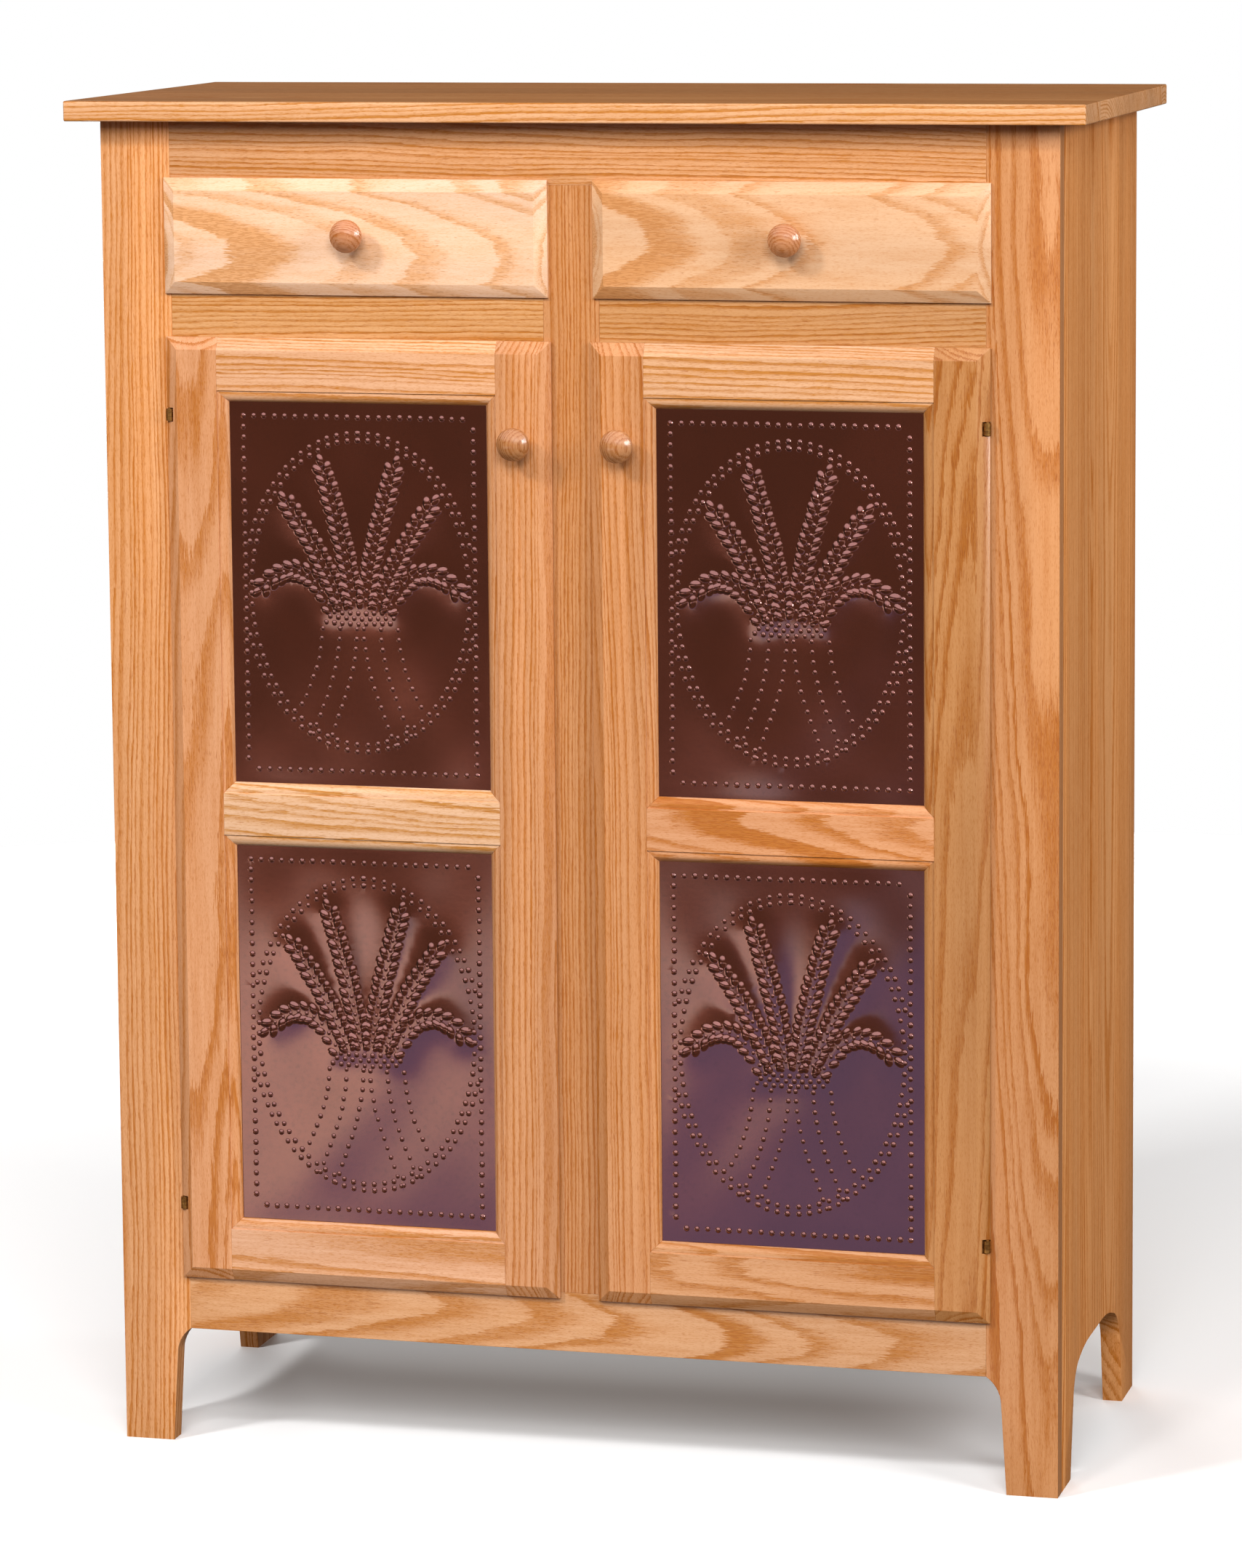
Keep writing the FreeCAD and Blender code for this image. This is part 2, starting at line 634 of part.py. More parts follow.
def sight_cutter(label, middle):
    """What a moulded opening takes away: two crossed prisms, so that the corners mitre."""
    edge = "-door_proud"
    through = "front_thick - door_proud + 1"
    half_x = "sight_width / 2"
    half_z = "sight_high / 2"

    def section(half):
        steps = [
            (f"{half} + mould_wide", f"{edge} - 1"),
            (f"{half} + mould_wide", f"{edge} + mould_step"),
            (half, f"{edge} + mould_deep"),
            (half, through),
        ]
        return steps + [(f"-({out})", deep) for out, deep in reversed(steps)]

    flat = section(half_x)
    upright = [(deep, out) for out, deep in section(half_z)]
    reach_z = f"{half_z} + mould_wide"
    reach_x = f"{half_x} + mould_wide"
    across = padded(label + "_across", "XY_Plane", flat, f"2 * ({reach_z})",
                    {1: ("mould_curve", -1), 5: ("mould_curve", -1)},
                    x="tin_centre", z=f"{middle} - ({reach_z})")
    along = padded(label + "_along", "YZ_Plane", upright, f"2 * ({reach_x})",
                   {1: ("mould_curve", 1), 5: ("mould_curve", 1)},
                   x=f"tin_centre - ({reach_x})", z=middle)
    return common(label, across, along)


def member_region(label, points):
    """A prism through the door that takes one board out of the moulded blank."""
    return padded(label, "XZ_Plane", points, "front_thick + 2", y="-door_proud - 1")


def make_door():
    back = "front_thick - door_proud"
    core_far = "case_width / 2 - stile_width - hinge_gap"
    blank = raised_board("door_blank", ("door_near", "door_far"), ("door_low", "door_high"),
                         "door_proud", "door_seat", ("centre_width / 2 + core_gap", core_far),
                         ("bottom_rail_high + core_gap", "mid_rail_low - core_gap"))
    tins = {"lower": "tin_low_mid", "upper": "tin_high_mid"}
    tools = []
    for name, middle in tins.items():
        tools.append(sight_cutter(name + "_sight", middle))
        tools.append(box(name + "_rabbet", around_tin_x("sight_width / 2 + rabbet_wide"),
                         ("rabbet_depth - door_proud", f"{back} + 1"),
                         around(middle, "sight_high / 2 + rabbet_wide")))
    for name in ("hinge_low", "hinge_high"):
        tools.append(box(name + "_notch", (core_far, "door_far + 1"),
                         ("-door_proud - 1", "-door_seat"), around(name, "notch_half")))
    tools.append(knob_hole("door_knob_hole", "door_knob_x", back, "door_proud",
                           "door_knob_z"))
    shaped = cut("door_shaped", blank, *tools)
    make_door_boards(shaped)

    for name, middle in tins.items():
        plate = box(name + "_plate", around_tin_x("tin_width / 2"),
                    ("rabbet_depth - door_proud", "rabbet_depth - door_proud + tin_thick"),
                    around(middle, "tin_high / 2"))
        node_pair(f"door_{name}_tin", plate)
    make_tin_stops(tins)
    node_pair("door_knob", knob("door_pull", "door_knob_x", "-door_proud", "door_knob_z"))
    strike = box("strike", ("catch_near + strike_trim", "catch_near + catch_wide - strike_trim"),
                 (back, f"{back} + strike_thick"),
                 ("mid_rail_low - catch_high", "mid_rail_low - core_gap - 1"))
    node_pair("door_strike_plate", strike)
    catch = box("catch", ("catch_near", "catch_near + catch_wide"),
                ("catch_front", "catch_front + catch_deep"),
                ("mid_rail_low - catch_high", "mid_rail_low"))
    node("door_catches", both_sides("catches", [catch]))


def around(middle, half):
    return (f"{middle} - ({half})", f"{middle} + ({half})")


def around_tin_x(half):
    return around("tin_centre", half)


def make_door_boards(shaped):
    """Two stiles and three rails: butt joints on the flat, mitres across the moulding."""
    near = "tin_centre - sight_width / 2 - mould_wide"
    far = "tin_centre + sight_width / 2 + mould_wide"
    reach = "sight_high / 2 + mould_wide"
    floor = "door_low - 1"
    ceiling = "door_high + 1"
    low_base = f"tin_low_mid - ({reach})"
    low_head = f"tin_low_mid + ({reach})"
    high_base = f"tin_high_mid - ({reach})"
    high_head = f"tin_high_mid + ({reach})"

    def mitred(line, towards):
        """A stile's inner edge, up the door, with a tongue of moulding at each opening."""
        edge = f"{line} {towards} mould_wide"
        steps = [(line, floor)]
        for base, head in ((low_base, low_head), (high_base, high_head)):
            steps += [(line, base), (edge, f"{base} + mould_wide"),
                      (edge, f"{head} - mould_wide"), (line, head)]
        return steps + [(line, ceiling)]

    def rail_edge(level, towards):
        """A rail's moulded edge, from the near stile to the far one."""
        lip = f"{level} {towards} mould_wide"
        return [(near, level), (f"{near} + mould_wide", lip),
                (f"{far} - mould_wide", lip), (far, level)]

    def straight(level):
        return [(near, level), (far, level)]

    rails = {
        "bottom_rail": (straight(floor), rail_edge(low_base, "+"),
                        ("door_low + door_tenon_trim", f"{low_base} - door_tenon_trim")),
        "mid_rail": (rail_edge(low_head, "-"), rail_edge(high_base, "+"),
                     (f"{low_head} + door_tenon_trim", f"{high_base} - door_tenon_trim")),
        "top_rail": (rail_edge(high_head, "-"), straight(ceiling),
                     (f"{high_head} + door_tenon_trim", "door_high - 2 * door_tenon_trim")),
    }
    depth = ("door_tenon_front", "door_tenon_front + door_tenon")
    near_tenons = []
    far_tenons = []
    for name, (below, above, span) in rails.items():
        near_tenons.append(box(f"door_{name}_near_tenon", (f"{near} - door_tenon_long", near),
                               depth, span))
        far_tenons.append(box(f"door_{name}_far_tenon", (far, f"{far} + door_tenon_long"),
                              depth, span))
        region = member_region(f"door_{name}_region", below + above[::-1])
        board = common(f"door_{name}_board", shaped, region)
        node_pair("door_" + name,
                  fuse(f"door_{name}_tenoned", board, near_tenons[-1], far_tenons[-1]))

    outside_near = "door_near - 1"
    outside_far = "door_far + 1"
    meeting = [(outside_near, floor)] + mitred(near, "+") + [(outside_near, ceiling)]
    hanging = [(outside_far, floor)] + mitred(far, "-") + [(outside_far, ceiling)]
    for name, points, tenons in (("meeting_stile", meeting, near_tenons),
                                 ("hinge_stile", hanging, far_tenons)):
        region = member_region(f"door_{name}_region", points)
        board = common(f"door_{name}_board", shaped, region)
        node_pair("door_" + name, cut(f"door_{name}_mortised", board, *tenons))


def make_tin_stops(tins):
    """Strips round each copper panel that hold it in its rabbet."""
    depth = ("rabbet_depth - door_proud + tin_thick",
             "rabbet_depth - door_proud + tin_thick + stop_size")
    half_x = "sight_width / 2 + rabbet_wide"
    half_z = "sight_high / 2 + rabbet_wide"
    strips = []
    for name, middle in tins.items():
        across = around_tin_x(half_x)
        base, head = around(middle, half_z)
        upright = (f"{base} + stop_size", f"{head} - stop_size")
        spans = {
            "base": (across, (base, f"{base} + stop_size")),
            "head": (across, (f"{head} - stop_size", head)),
            "near": ((across[0], f"{across[0]} + stop_size"), upright),
            "far": ((f"{across[1]} - stop_size", across[1]), upright),
        }
        for side, (x, z) in spans.items():
            strips.append(box(f"{name}_{side}_strip", x, depth, z))
    node_pair("door_tin_stops", group("stops", strips))


def make_hinges():
    """Two hinges to a door: leaves behind the lip, knuckles in notches of the bevel."""
    edge = "case_width / 2 - stile_width"
    frame_x = (f"{edge} - leaf_thick", edge)
    door_x = (f"{edge} - hinge_gap", f"{edge} - hinge_gap + leaf_thick")
    back = "front_thick - door_proud"
    pitch = "knuckle_long + knuckle_gap"
    frame_leaves, door_leaves, pins, frame_screws, door_screws = [], [], [], [], []
    for name in ("hinge_low", "hinge_high"):
        frame_leaves.append(hinge_leaf(name + "_frame", name, frame_x, ("-0.2", "leaf_deep"),
                                       ("0",), "pin_radius"))
        door_leaves.append(hinge_leaf(name + "_door", name, door_x,
                                      ("-0.9 * door_seat", f"{back} - 0.1"),
                                      (pitch, f"-({pitch})"), "pin_radius + pin_run"))
        half = "1.5 * knuckle_long + knuckle_gap + pin_end"
        pins.append(round_bar(name + "_pin", "pin_radius", f"2 * ({half})", "hinge_x",
                              "-hinge_proud", f"{name} - ({half})"))
        for sign in ("+", "-"):
            z = f"{name} {sign} leaf_screw"
            tag = "upper" if sign == "+" else "lower"
            frame_screws.append(wood_screw(f"{name}_{tag}_frame_screw", "wood_screw",
                                           frame_x[0], "leaf_deep / 2", z, (1, 0, 0)))
            door_screws.append(wood_screw(f"{name}_{tag}_door_screw", "wood_screw",
                                          door_x[1], f"({back}) / 2", z, (-1, 0, 0)))
    node_pair("hinge_door_leaves", group("door_leaves", door_leaves))
    node("hinge_frame_leaves", both_sides("frame_leaves", frame_leaves))
    node("hinge_pins", both_sides("pins", pins))
    node("hinge_frame_screws", both_sides("frame_fixings", frame_screws))
    bolt = knob_screw("door_bolt", "door_knob_x", back, "door_proud", "door_knob_z")
    node_pair("door_screws", group("door_fixings", door_screws + [bolt]))


def hinge_leaf(label, height, x, y, levels, bore):
    """A leaf with its knuckles; levels are the knuckles' middles from the hinge's middle."""
    pieces = [box(label + "_plate", x, y, around(height, "leaf_half"))]
    for index, level in enumerate(levels):
        start = f"{height} + ({level}) - knuckle_long / 2"
        pieces.append(box(f"{label}_neck_{index}", x, ("-hinge_proud", y[0]),
                          (start, f"{start} + knuckle_long")))
        pieces.append(round_bar(f"{label}_knuckle_{index}", "knuckle_radius", "knuckle_long",
                                "hinge_x", "-hinge_proud", start))
    solid = fuse(label + "_solid", *pieces)
    hole = round_bar(label + "_bore", bore, "2 * leaf_half", "hinge_x", "-hinge_proud",
                     f"{height} - leaf_half")
    return cut(label, solid, hole)


def check_and_write():
    """Stop on any object that failed, then write each sub-part to its own file."""
    for item in DOC.Objects:
        if "Invalid" in item.State or "Error" in item.State:
            raise RuntimeError(f"{item.Label} failed: {item.State}")
    os.makedirs("parts", exist_ok=True)
    for item in NODES:
        shape = item.Shape
        if shape.isNull() or not shape.isValid() or not shape.Solids:
            raise RuntimeError(f"{item.Label} has no valid solid")
        shape.exportStep(f"parts/{item.Label}.step")
        print(f"{item.Label}: {len(shape.Solids)} solid(s), {shape.Volume / 1000:.2f} cm3")
    print(len(NODES), "sub-parts")


fill_sheet()
make_top()
make_face_frame()
make_case_boards()
make_drawer()
make_door()
make_hinges()
DOC.recompute()
check_and_write()
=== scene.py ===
import math
import random

import bmesh
import bpy
from mathutils import Matrix, Vector
from mathutils.geometry import delaunay_2d_cdt
from mathutils.kdtree import KDTree


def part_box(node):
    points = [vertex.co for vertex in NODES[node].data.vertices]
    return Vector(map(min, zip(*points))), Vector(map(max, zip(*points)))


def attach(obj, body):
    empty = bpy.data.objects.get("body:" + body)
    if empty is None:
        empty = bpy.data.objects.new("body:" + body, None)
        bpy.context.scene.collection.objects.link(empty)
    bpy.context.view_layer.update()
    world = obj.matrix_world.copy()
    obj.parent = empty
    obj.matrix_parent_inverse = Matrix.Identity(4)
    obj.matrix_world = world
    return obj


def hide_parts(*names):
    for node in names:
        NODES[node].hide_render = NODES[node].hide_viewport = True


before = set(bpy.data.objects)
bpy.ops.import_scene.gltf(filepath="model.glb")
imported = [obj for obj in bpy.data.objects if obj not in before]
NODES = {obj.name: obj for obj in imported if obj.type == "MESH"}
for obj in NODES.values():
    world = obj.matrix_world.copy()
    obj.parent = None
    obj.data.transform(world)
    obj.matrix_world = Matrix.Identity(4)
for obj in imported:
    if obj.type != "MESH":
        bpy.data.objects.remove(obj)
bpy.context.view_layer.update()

SIDES = ("left", "right")
MM = 0.001

# ---------------------------------------------------------------------------
# Small helpers for node trees
# ---------------------------------------------------------------------------


def srgb(red, green, blue):
    """An sRGB colour, 0 to 255, as a linear RGBA."""
    def linear(value):
        value /= 255
        return value / 12.92 if value <= 0.04045 else ((value + 0.055) / 1.055) ** 2.4
    return (linear(red), linear(green), linear(blue), 1.0)


class Tree:
    """Adds nodes to a node tree and links what it is given, a socket or a plain value."""

    def __init__(self, tree):
        self.tree = tree

    def node(self, kind, inputs=(), **settings):
        item = self.tree.nodes.new(kind)
        for name, value in settings.items():
            setattr(item, name, value)
        for key, value in dict(inputs).items():
            self.feed(item.inputs[key], value)
        return item

    def feed(self, socket, value):
        if isinstance(value, bpy.types.NodeSocket):
            self.tree.links.new(value, socket)
        else:
            socket.default_value = value

    def math(self, operation, *values):
        return self.node("ShaderNodeMath", dict(enumerate(values)),
                         operation=operation).outputs[0]

    def vector(self, operation, *values):
        return self.node("ShaderNodeVectorMath", dict(enumerate(values)),
                         operation=operation).outputs[0]

    def scaled(self, place, x, y, z):
        return self.vector("MULTIPLY", place, (x, y, z))

    def noise(self, place, scale=1.0, detail=2.0, roughness=0.5, dimensions="3D"):
        spot = "W" if dimensions == "1D" else "Vector"
        item = self.node("ShaderNodeTexNoise", noise_dimensions=dimensions)
        self.feed(item.inputs[spot], place)
        self.feed(item.inputs["Scale"], scale)
        self.feed(item.inputs["Detail"], detail)
        self.feed(item.inputs["Roughness"], roughness)
        return item.outputs[0]

    def ramp(self, value, low, high, start=0.0, end=1.0, smooth=True):
        item = self.node("ShaderNodeMapRange", clamp=True)
        item.interpolation_type = "SMOOTHSTEP" if smooth else "LINEAR"
        for key, given in zip(("Value", "From Min", "From Max", "To Min", "To Max"),
                              (value, low, high, start, end)):
            self.feed(item.inputs[key], given)
        return item.outputs["Result"]

    def mix(self, factor, first, second, blend="MIX"):
        item = self.node("ShaderNodeMix", data_type="RGBA", blend_type=blend)
        self.feed(item.inputs[0], factor)
        self.feed(item.inputs[6], first)
        self.feed(item.inputs[7], second)
        return item.outputs[2]


def new_material(name):
    """A material with one Principled BSDF, and the tree that feeds it."""
    material = bpy.data.materials.new(name)
    material.use_nodes = True
    shader = material.node_tree.nodes["Principled BSDF"]
    return material, Tree(material.node_tree), shader


def object_place(tree):
    return tree.node("ShaderNodeTexCoord").outputs["Object"]


def wear(item, material):
    """Gives an object one material in place of what it had."""
    item.data.materials.clear()
    item.data.materials.append(material)


# ---------------------------------------------------------------------------
# Oak: growth rings, pores and fibres worked out inside the log
# ---------------------------------------------------------------------------


def make_oak_group():
    """Colour and relief of ring-porous wood at a place in its log, whose axis is Z."""
    group = bpy.data.node_groups.new("oak_figure", "ShaderNodeTree")
    face = group.interface
    for name, kind in (("Place", "NodeSocketVector"), ("Ring", "NodeSocketFloat"),
                       ("Wander", "NodeSocketFloat"), ("Seed", "NodeSocketFloat"),
                       ("Light", "NodeSocketColor"), ("Dark", "NodeSocketColor"),
                       ("Pore", "NodeSocketColor")):
        face.new_socket(name, in_out="INPUT", socket_type=kind)
    for name, kind in (("Color", "NodeSocketColor"), ("Height", "NodeSocketFloat"),
                       ("Roughness", "NodeSocketFloat")):
        face.new_socket(name, in_out="OUTPUT", socket_type=kind)
    t = Tree(group)
    given = t.node("NodeGroupInput").outputs
    place = given["Place"]
    shift = t.node("ShaderNodeCombineXYZ", {0: given["Seed"], 1: given["Seed"],
                                            2: given["Seed"]}).outputs[0]
    moved = t.vector("ADD", place, t.scaled(shift, 3.17, 7.71, 5.23))

    # The distance from the pith, made uneven, counts the rings.
    slow = t.noise(t.scaled(moved, 7, 7, 1.9), detail=1.5)
    brisk = t.noise(t.scaled(moved, 55, 55, 9), detail=2)
    frayed = t.noise(t.scaled(moved, 900, 900, 45), detail=2)
    parts = t.node("ShaderNodeSeparateXYZ", {0: place}).outputs
    radius = t.math("SQRT", t.math("ADD", t.math("MULTIPLY", parts[0], parts[0]),
                                   t.math("MULTIPLY", parts[1], parts[1])))
    swing = t.math("MULTIPLY", t.math("SUBTRACT", slow, 0.5), given["Wander"])
    shake = t.math("MULTIPLY", t.math("SUBTRACT", brisk, 0.5), 0.0026)
    fray = t.math("MULTIPLY", t.math("SUBTRACT", frayed, 0.5), 0.0019)
    radius = t.math("ADD", radius, t.math("ADD", swing, t.math("ADD", shake, fray)))
    count = t.math("DIVIDE", radius, given["Ring"])
    uneven = t.noise(t.math("MULTIPLY_ADD", radius, 70.0, given["Seed"]), dimensions="1D")
    count = t.math("MULTIPLY_ADD", uneven, 2.3, count)
    within = t.math("FRACT", count)
    ring = t.node("ShaderNodeTexWhiteNoise", {"W": t.math("FLOOR", count)},
                  noise_dimensions="1D").outputs[0]

    # Early wood starts each ring sharply and fades into late wood.
    rise = t.ramp(within, 0.0, 0.07)
    fall = t.ramp(within, 0.14, 0.62, 1.0, 0.0)
    strength = t.math("MULTIPLY_ADD", ring, 0.6, 0.4)
    early = t.math("MULTIPLY", t.math("MULTIPLY", rise, fall), strength)

    # Fibres and streaks run along the log, and pores crowd into the early wood.
    fibre = t.noise(t.scaled(moved, 520, 520, 10), detail=3, roughness=0.6)
    streak = t.noise(t.scaled(moved, 120, 120, 2.5), detail=2)
    tone = t.noise(t.scaled(moved, 16, 16, 1.3), detail=1)
    pore_noise = t.noise(t.scaled(moved, 1250, 1250, 105), detail=1.0)
    edge = t.math("MULTIPLY_ADD", early, -0.24, 0.68)
    pore = t.ramp(pore_noise, edge, t.math("ADD", edge, 0.09))

    # How dark the wood is at this place, and its colours.
    fleck = t.ramp(t.noise(t.scaled(moved, 1700, 1700, 240), detail=1.0), 0.52, 0.66)
    depth = t.math("MULTIPLY_ADD", early, 0.66, -0.46)
    depth = t.math("MULTIPLY_ADD", fleck, 0.22, depth)
    depth = t.math("MULTIPLY_ADD", fibre, 0.5, depth)
    depth = t.math("MULTIPLY_ADD", streak, 0.5, depth)
    depth = t.ramp(depth, -0.05, 0.6, smooth=False)
    colour = t.mix(depth, given["Light"], given["Dark"])
    warm = t.mix(t.ramp(tone, 0.3, 0.7), (0.92, 0.93, 0.95, 1), (1.07, 1.06, 1.03, 1))
    colour = t.mix(1.0, colour, warm, "MULTIPLY")
    colour = t.mix(t.math("MULTIPLY", pore, 0.46), colour, given["Pore"])
    height = t.math("MULTIPLY_ADD", pore, -1.0, t.math("MULTIPLY", early, -0.3))
    rough = t.math("MULTIPLY_ADD", pore, 0.16, 0.4)
    out = t.node("NodeGroupOutput")
    for name, value in (("Color", colour), ("Height", height), ("Roughness", rough)):
        t.feed(out.inputs[name], value)
    return group


OAK = make_oak_group()
AXES = {"x": Vector((1, 0, 0)), "y": Vector((0, 1, 0)), "z": Vector((0, 0, 1))}
HONEY = {
    "Light": srgb(210, 152, 111),
    "Dark": srgb(178, 107, 42),
    "Pore": srgb(154, 80, 18),
}
PALE = {
    "Light": srgb(216, 176, 139),
    "Dark": srgb(198, 142, 90),
    "Pore": srgb(166, 106, 48),
}


def tinted(colours, red, green, blue):
    """The same three colours of wood, scaled by a tint: partly another stain, partly painted light
    and shade.
    """
    return {name: (c[0] * red, c[1] * green, c[2] * blue, 1.0)
            for name, c in colours.items()}


def log_space(tree, node, grain, face, behind, aside, tilt):
    """The place in the log: its axis along the grain, its pith behind the board's face."""
    low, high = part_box(node)
    along = AXES[grain]
    outward = face.normalized()
    across = outward.cross(along)
    lean = Matrix.Rotation(tilt, 3, across)
    rows = Matrix((across, outward, along)) @ lean
    pith = (low + high) / 2 - outward * behind + across * aside
    turned = tree.node("ShaderNodeMapping", {
        "Vector": object_place(tree),
        "Rotation": rows.to_euler(),
        "Location": -(rows @ pith),
    })
    return turned.outputs[0]


def staves(tree, place, width, seed):
    """Cuts a wide board into staves: the place in each one's log, and each one's shade."""
    parts = tree.node("ShaderNodeSeparateXYZ", {0: place}).outputs
    spot = tree.math("MULTIPLY_ADD", parts[0], 1 / width, seed)
    index = tree.math("FLOOR", spot)
    inside = tree.math("MULTIPLY", tree.math("SUBTRACT", spot, index), width)
    chance = tree.node("ShaderNodeTexWhiteNoise", {"W": tree.math("ADD", index, seed)},
                       noise_dimensions="1D").outputs["Color"]
    jump = tree.node("ShaderNodeSeparateXYZ", {0: tree.vector(
        "MULTIPLY", tree.vector("SUBTRACT", chance, (0.5, 0.5, 0.5)),
        (0.09, 0.07, 1.8))}).outputs
    moved = tree.node("ShaderNodeCombineXYZ", {
        0: tree.math("ADD", inside, jump[0]),
        1: tree.math("ADD", parts[1], jump[1]),
        2: tree.math("ADD", parts[2], jump[2]),
    }).outputs[0]
    shade = tree.math("FRACT", tree.math("MULTIPLY", index, 0.37))
    return moved, shade


def oak_board(node, grain, face, behind, aside, tilt, ring, *, colours, seed, gloss,
              wander=0.02, stave=None, mirror=0.4, upper=None):
    """Gives a CAD board oak whose rings run as if it were sawn from one log.

    A stave width makes it a glued-up board, and upper multiplies the colour of the faces
    that look up, a painted shade for the less light they take.
    """
    material, tree, shader = new_material("oak_" + node)
    place = log_space(tree, node, grain, Vector(face), behind, aside, tilt)
    shade = None
    if stave:
        place, shade = staves(tree, place, stave, seed)
    figure = tree.node("ShaderNodeGroup", node_tree=OAK)
    for name, value in (("Place", place), ("Ring", ring), ("Wander", wander),
                        ("Seed", seed)):
        tree.feed(figure.inputs[name], value)
    for name, value in colours.items():
        tree.feed(figure.inputs[name], value)
    colour = figure.outputs["Color"]
    if shade:
        tone = tree.mix(shade, (0.9, 0.88, 0.85, 1), (1.06, 1.06, 1.06, 1))
        colour = tree.mix(1.0, colour, tone, "MULTIPLY")
    # Painted shade: faces that look up are darkened by the factor in upper.
    if upper:
        facing = tree.node("ShaderNodeSeparateXYZ", {
            0: tree.node("ShaderNodeNewGeometry").outputs["Normal"]}).outputs[2]
        colour = tree.mix(tree.ramp(facing, 0.3, 0.7), colour,
                          tree.mix(1.0, colour, (*upper, 1), "MULTIPLY"))
    bump = tree.node("ShaderNodeBump", {"Strength": 0.35, "Distance": 0.00025,
                                        "Height": figure.outputs["Height"]})
    tree.feed(shader.inputs["Base Color"], colour)
    tree.feed(shader.inputs["Roughness"], figure.outputs["Roughness"])
    tree.feed(shader.inputs["Normal"], bump.outputs[0])
    shader.inputs["Specular IOR Level"].default_value = mirror
    shader.inputs["Coat Weight"].default_value = gloss
    shader.inputs["Coat Roughness"].default_value = 0.16
    wear(NODES[node], material)


# ---------------------------------------------------------------------------
# Modifiers: eased edges and smooth shading on the CAD meshes
# ---------------------------------------------------------------------------


def make_smooth_group(angle):
    """Geometry nodes that drop stored normals and shade smooth below an angle.

    Edges where boards touch have more than two faces, so they count as sharp too.
    """
    group = bpy.data.node_groups.new("smooth_below_angle", "GeometryNodeTree")
    for in_out in ("INPUT", "OUTPUT"):
        group.interface.new_socket("Geometry", in_out=in_out,
                                   socket_type="NodeSocketGeometry")
    t = Tree(group)
    mesh = t.node("NodeGroupInput").outputs[0]
    turn = t.node("GeometryNodeInputMeshEdgeAngle").outputs[0]
    faces = t.node("GeometryNodeInputMeshEdgeNeighbors").outputs[0]
    paired = t.math("COMPARE", faces, 2.0, 0.5)
    sharp = t.math("MAXIMUM", t.math("GREATER_THAN", turn, angle),
                   t.math("SUBTRACT", 1.0, paired))
    shaded = t.node("GeometryNodeSetMeshNormal", {"Mesh": mesh, "Remove Custom": True,
                                                  "Edge Sharpness": sharp})
    split = t.node("GeometryNodeSplitEdges", {"Mesh": shaded.outputs[0], "Selection": sharp})
    t.feed(t.node("NodeGroupOutput").inputs[0], split.outputs[0])
    return group


SMOOTH = make_smooth_group(math.radians(20))


def finish_edges(item, ease):
    """Welds a CAD mesh, eases its edges by a width in millimetres and shades it."""
    weld = item.modifiers.new("weld", "WELD")
    weld.merge_threshold = 1e-5
    if ease:
        bevel = item.modifiers.new("ease", "BEVEL")
        bevel.width = ease * MM
        bevel.segments = 2
        bevel.limit_method = "ANGLE"
        bevel.angle_limit = math.radians(36)
        bevel.use_clamp_overlap = True
    smooth = item.modifiers.new("smooth", "NODES")
    smooth.node_group = SMOOTH


# ---------------------------------------------------------------------------
# The case
# ---------------------------------------------------------------------------

FRONT, BACK = (0, -1, 0), (0, 1, 0)
LEFT, RIGHT, UP = (-1, 0, 0), (1, 0, 0), (0, 0, 1)
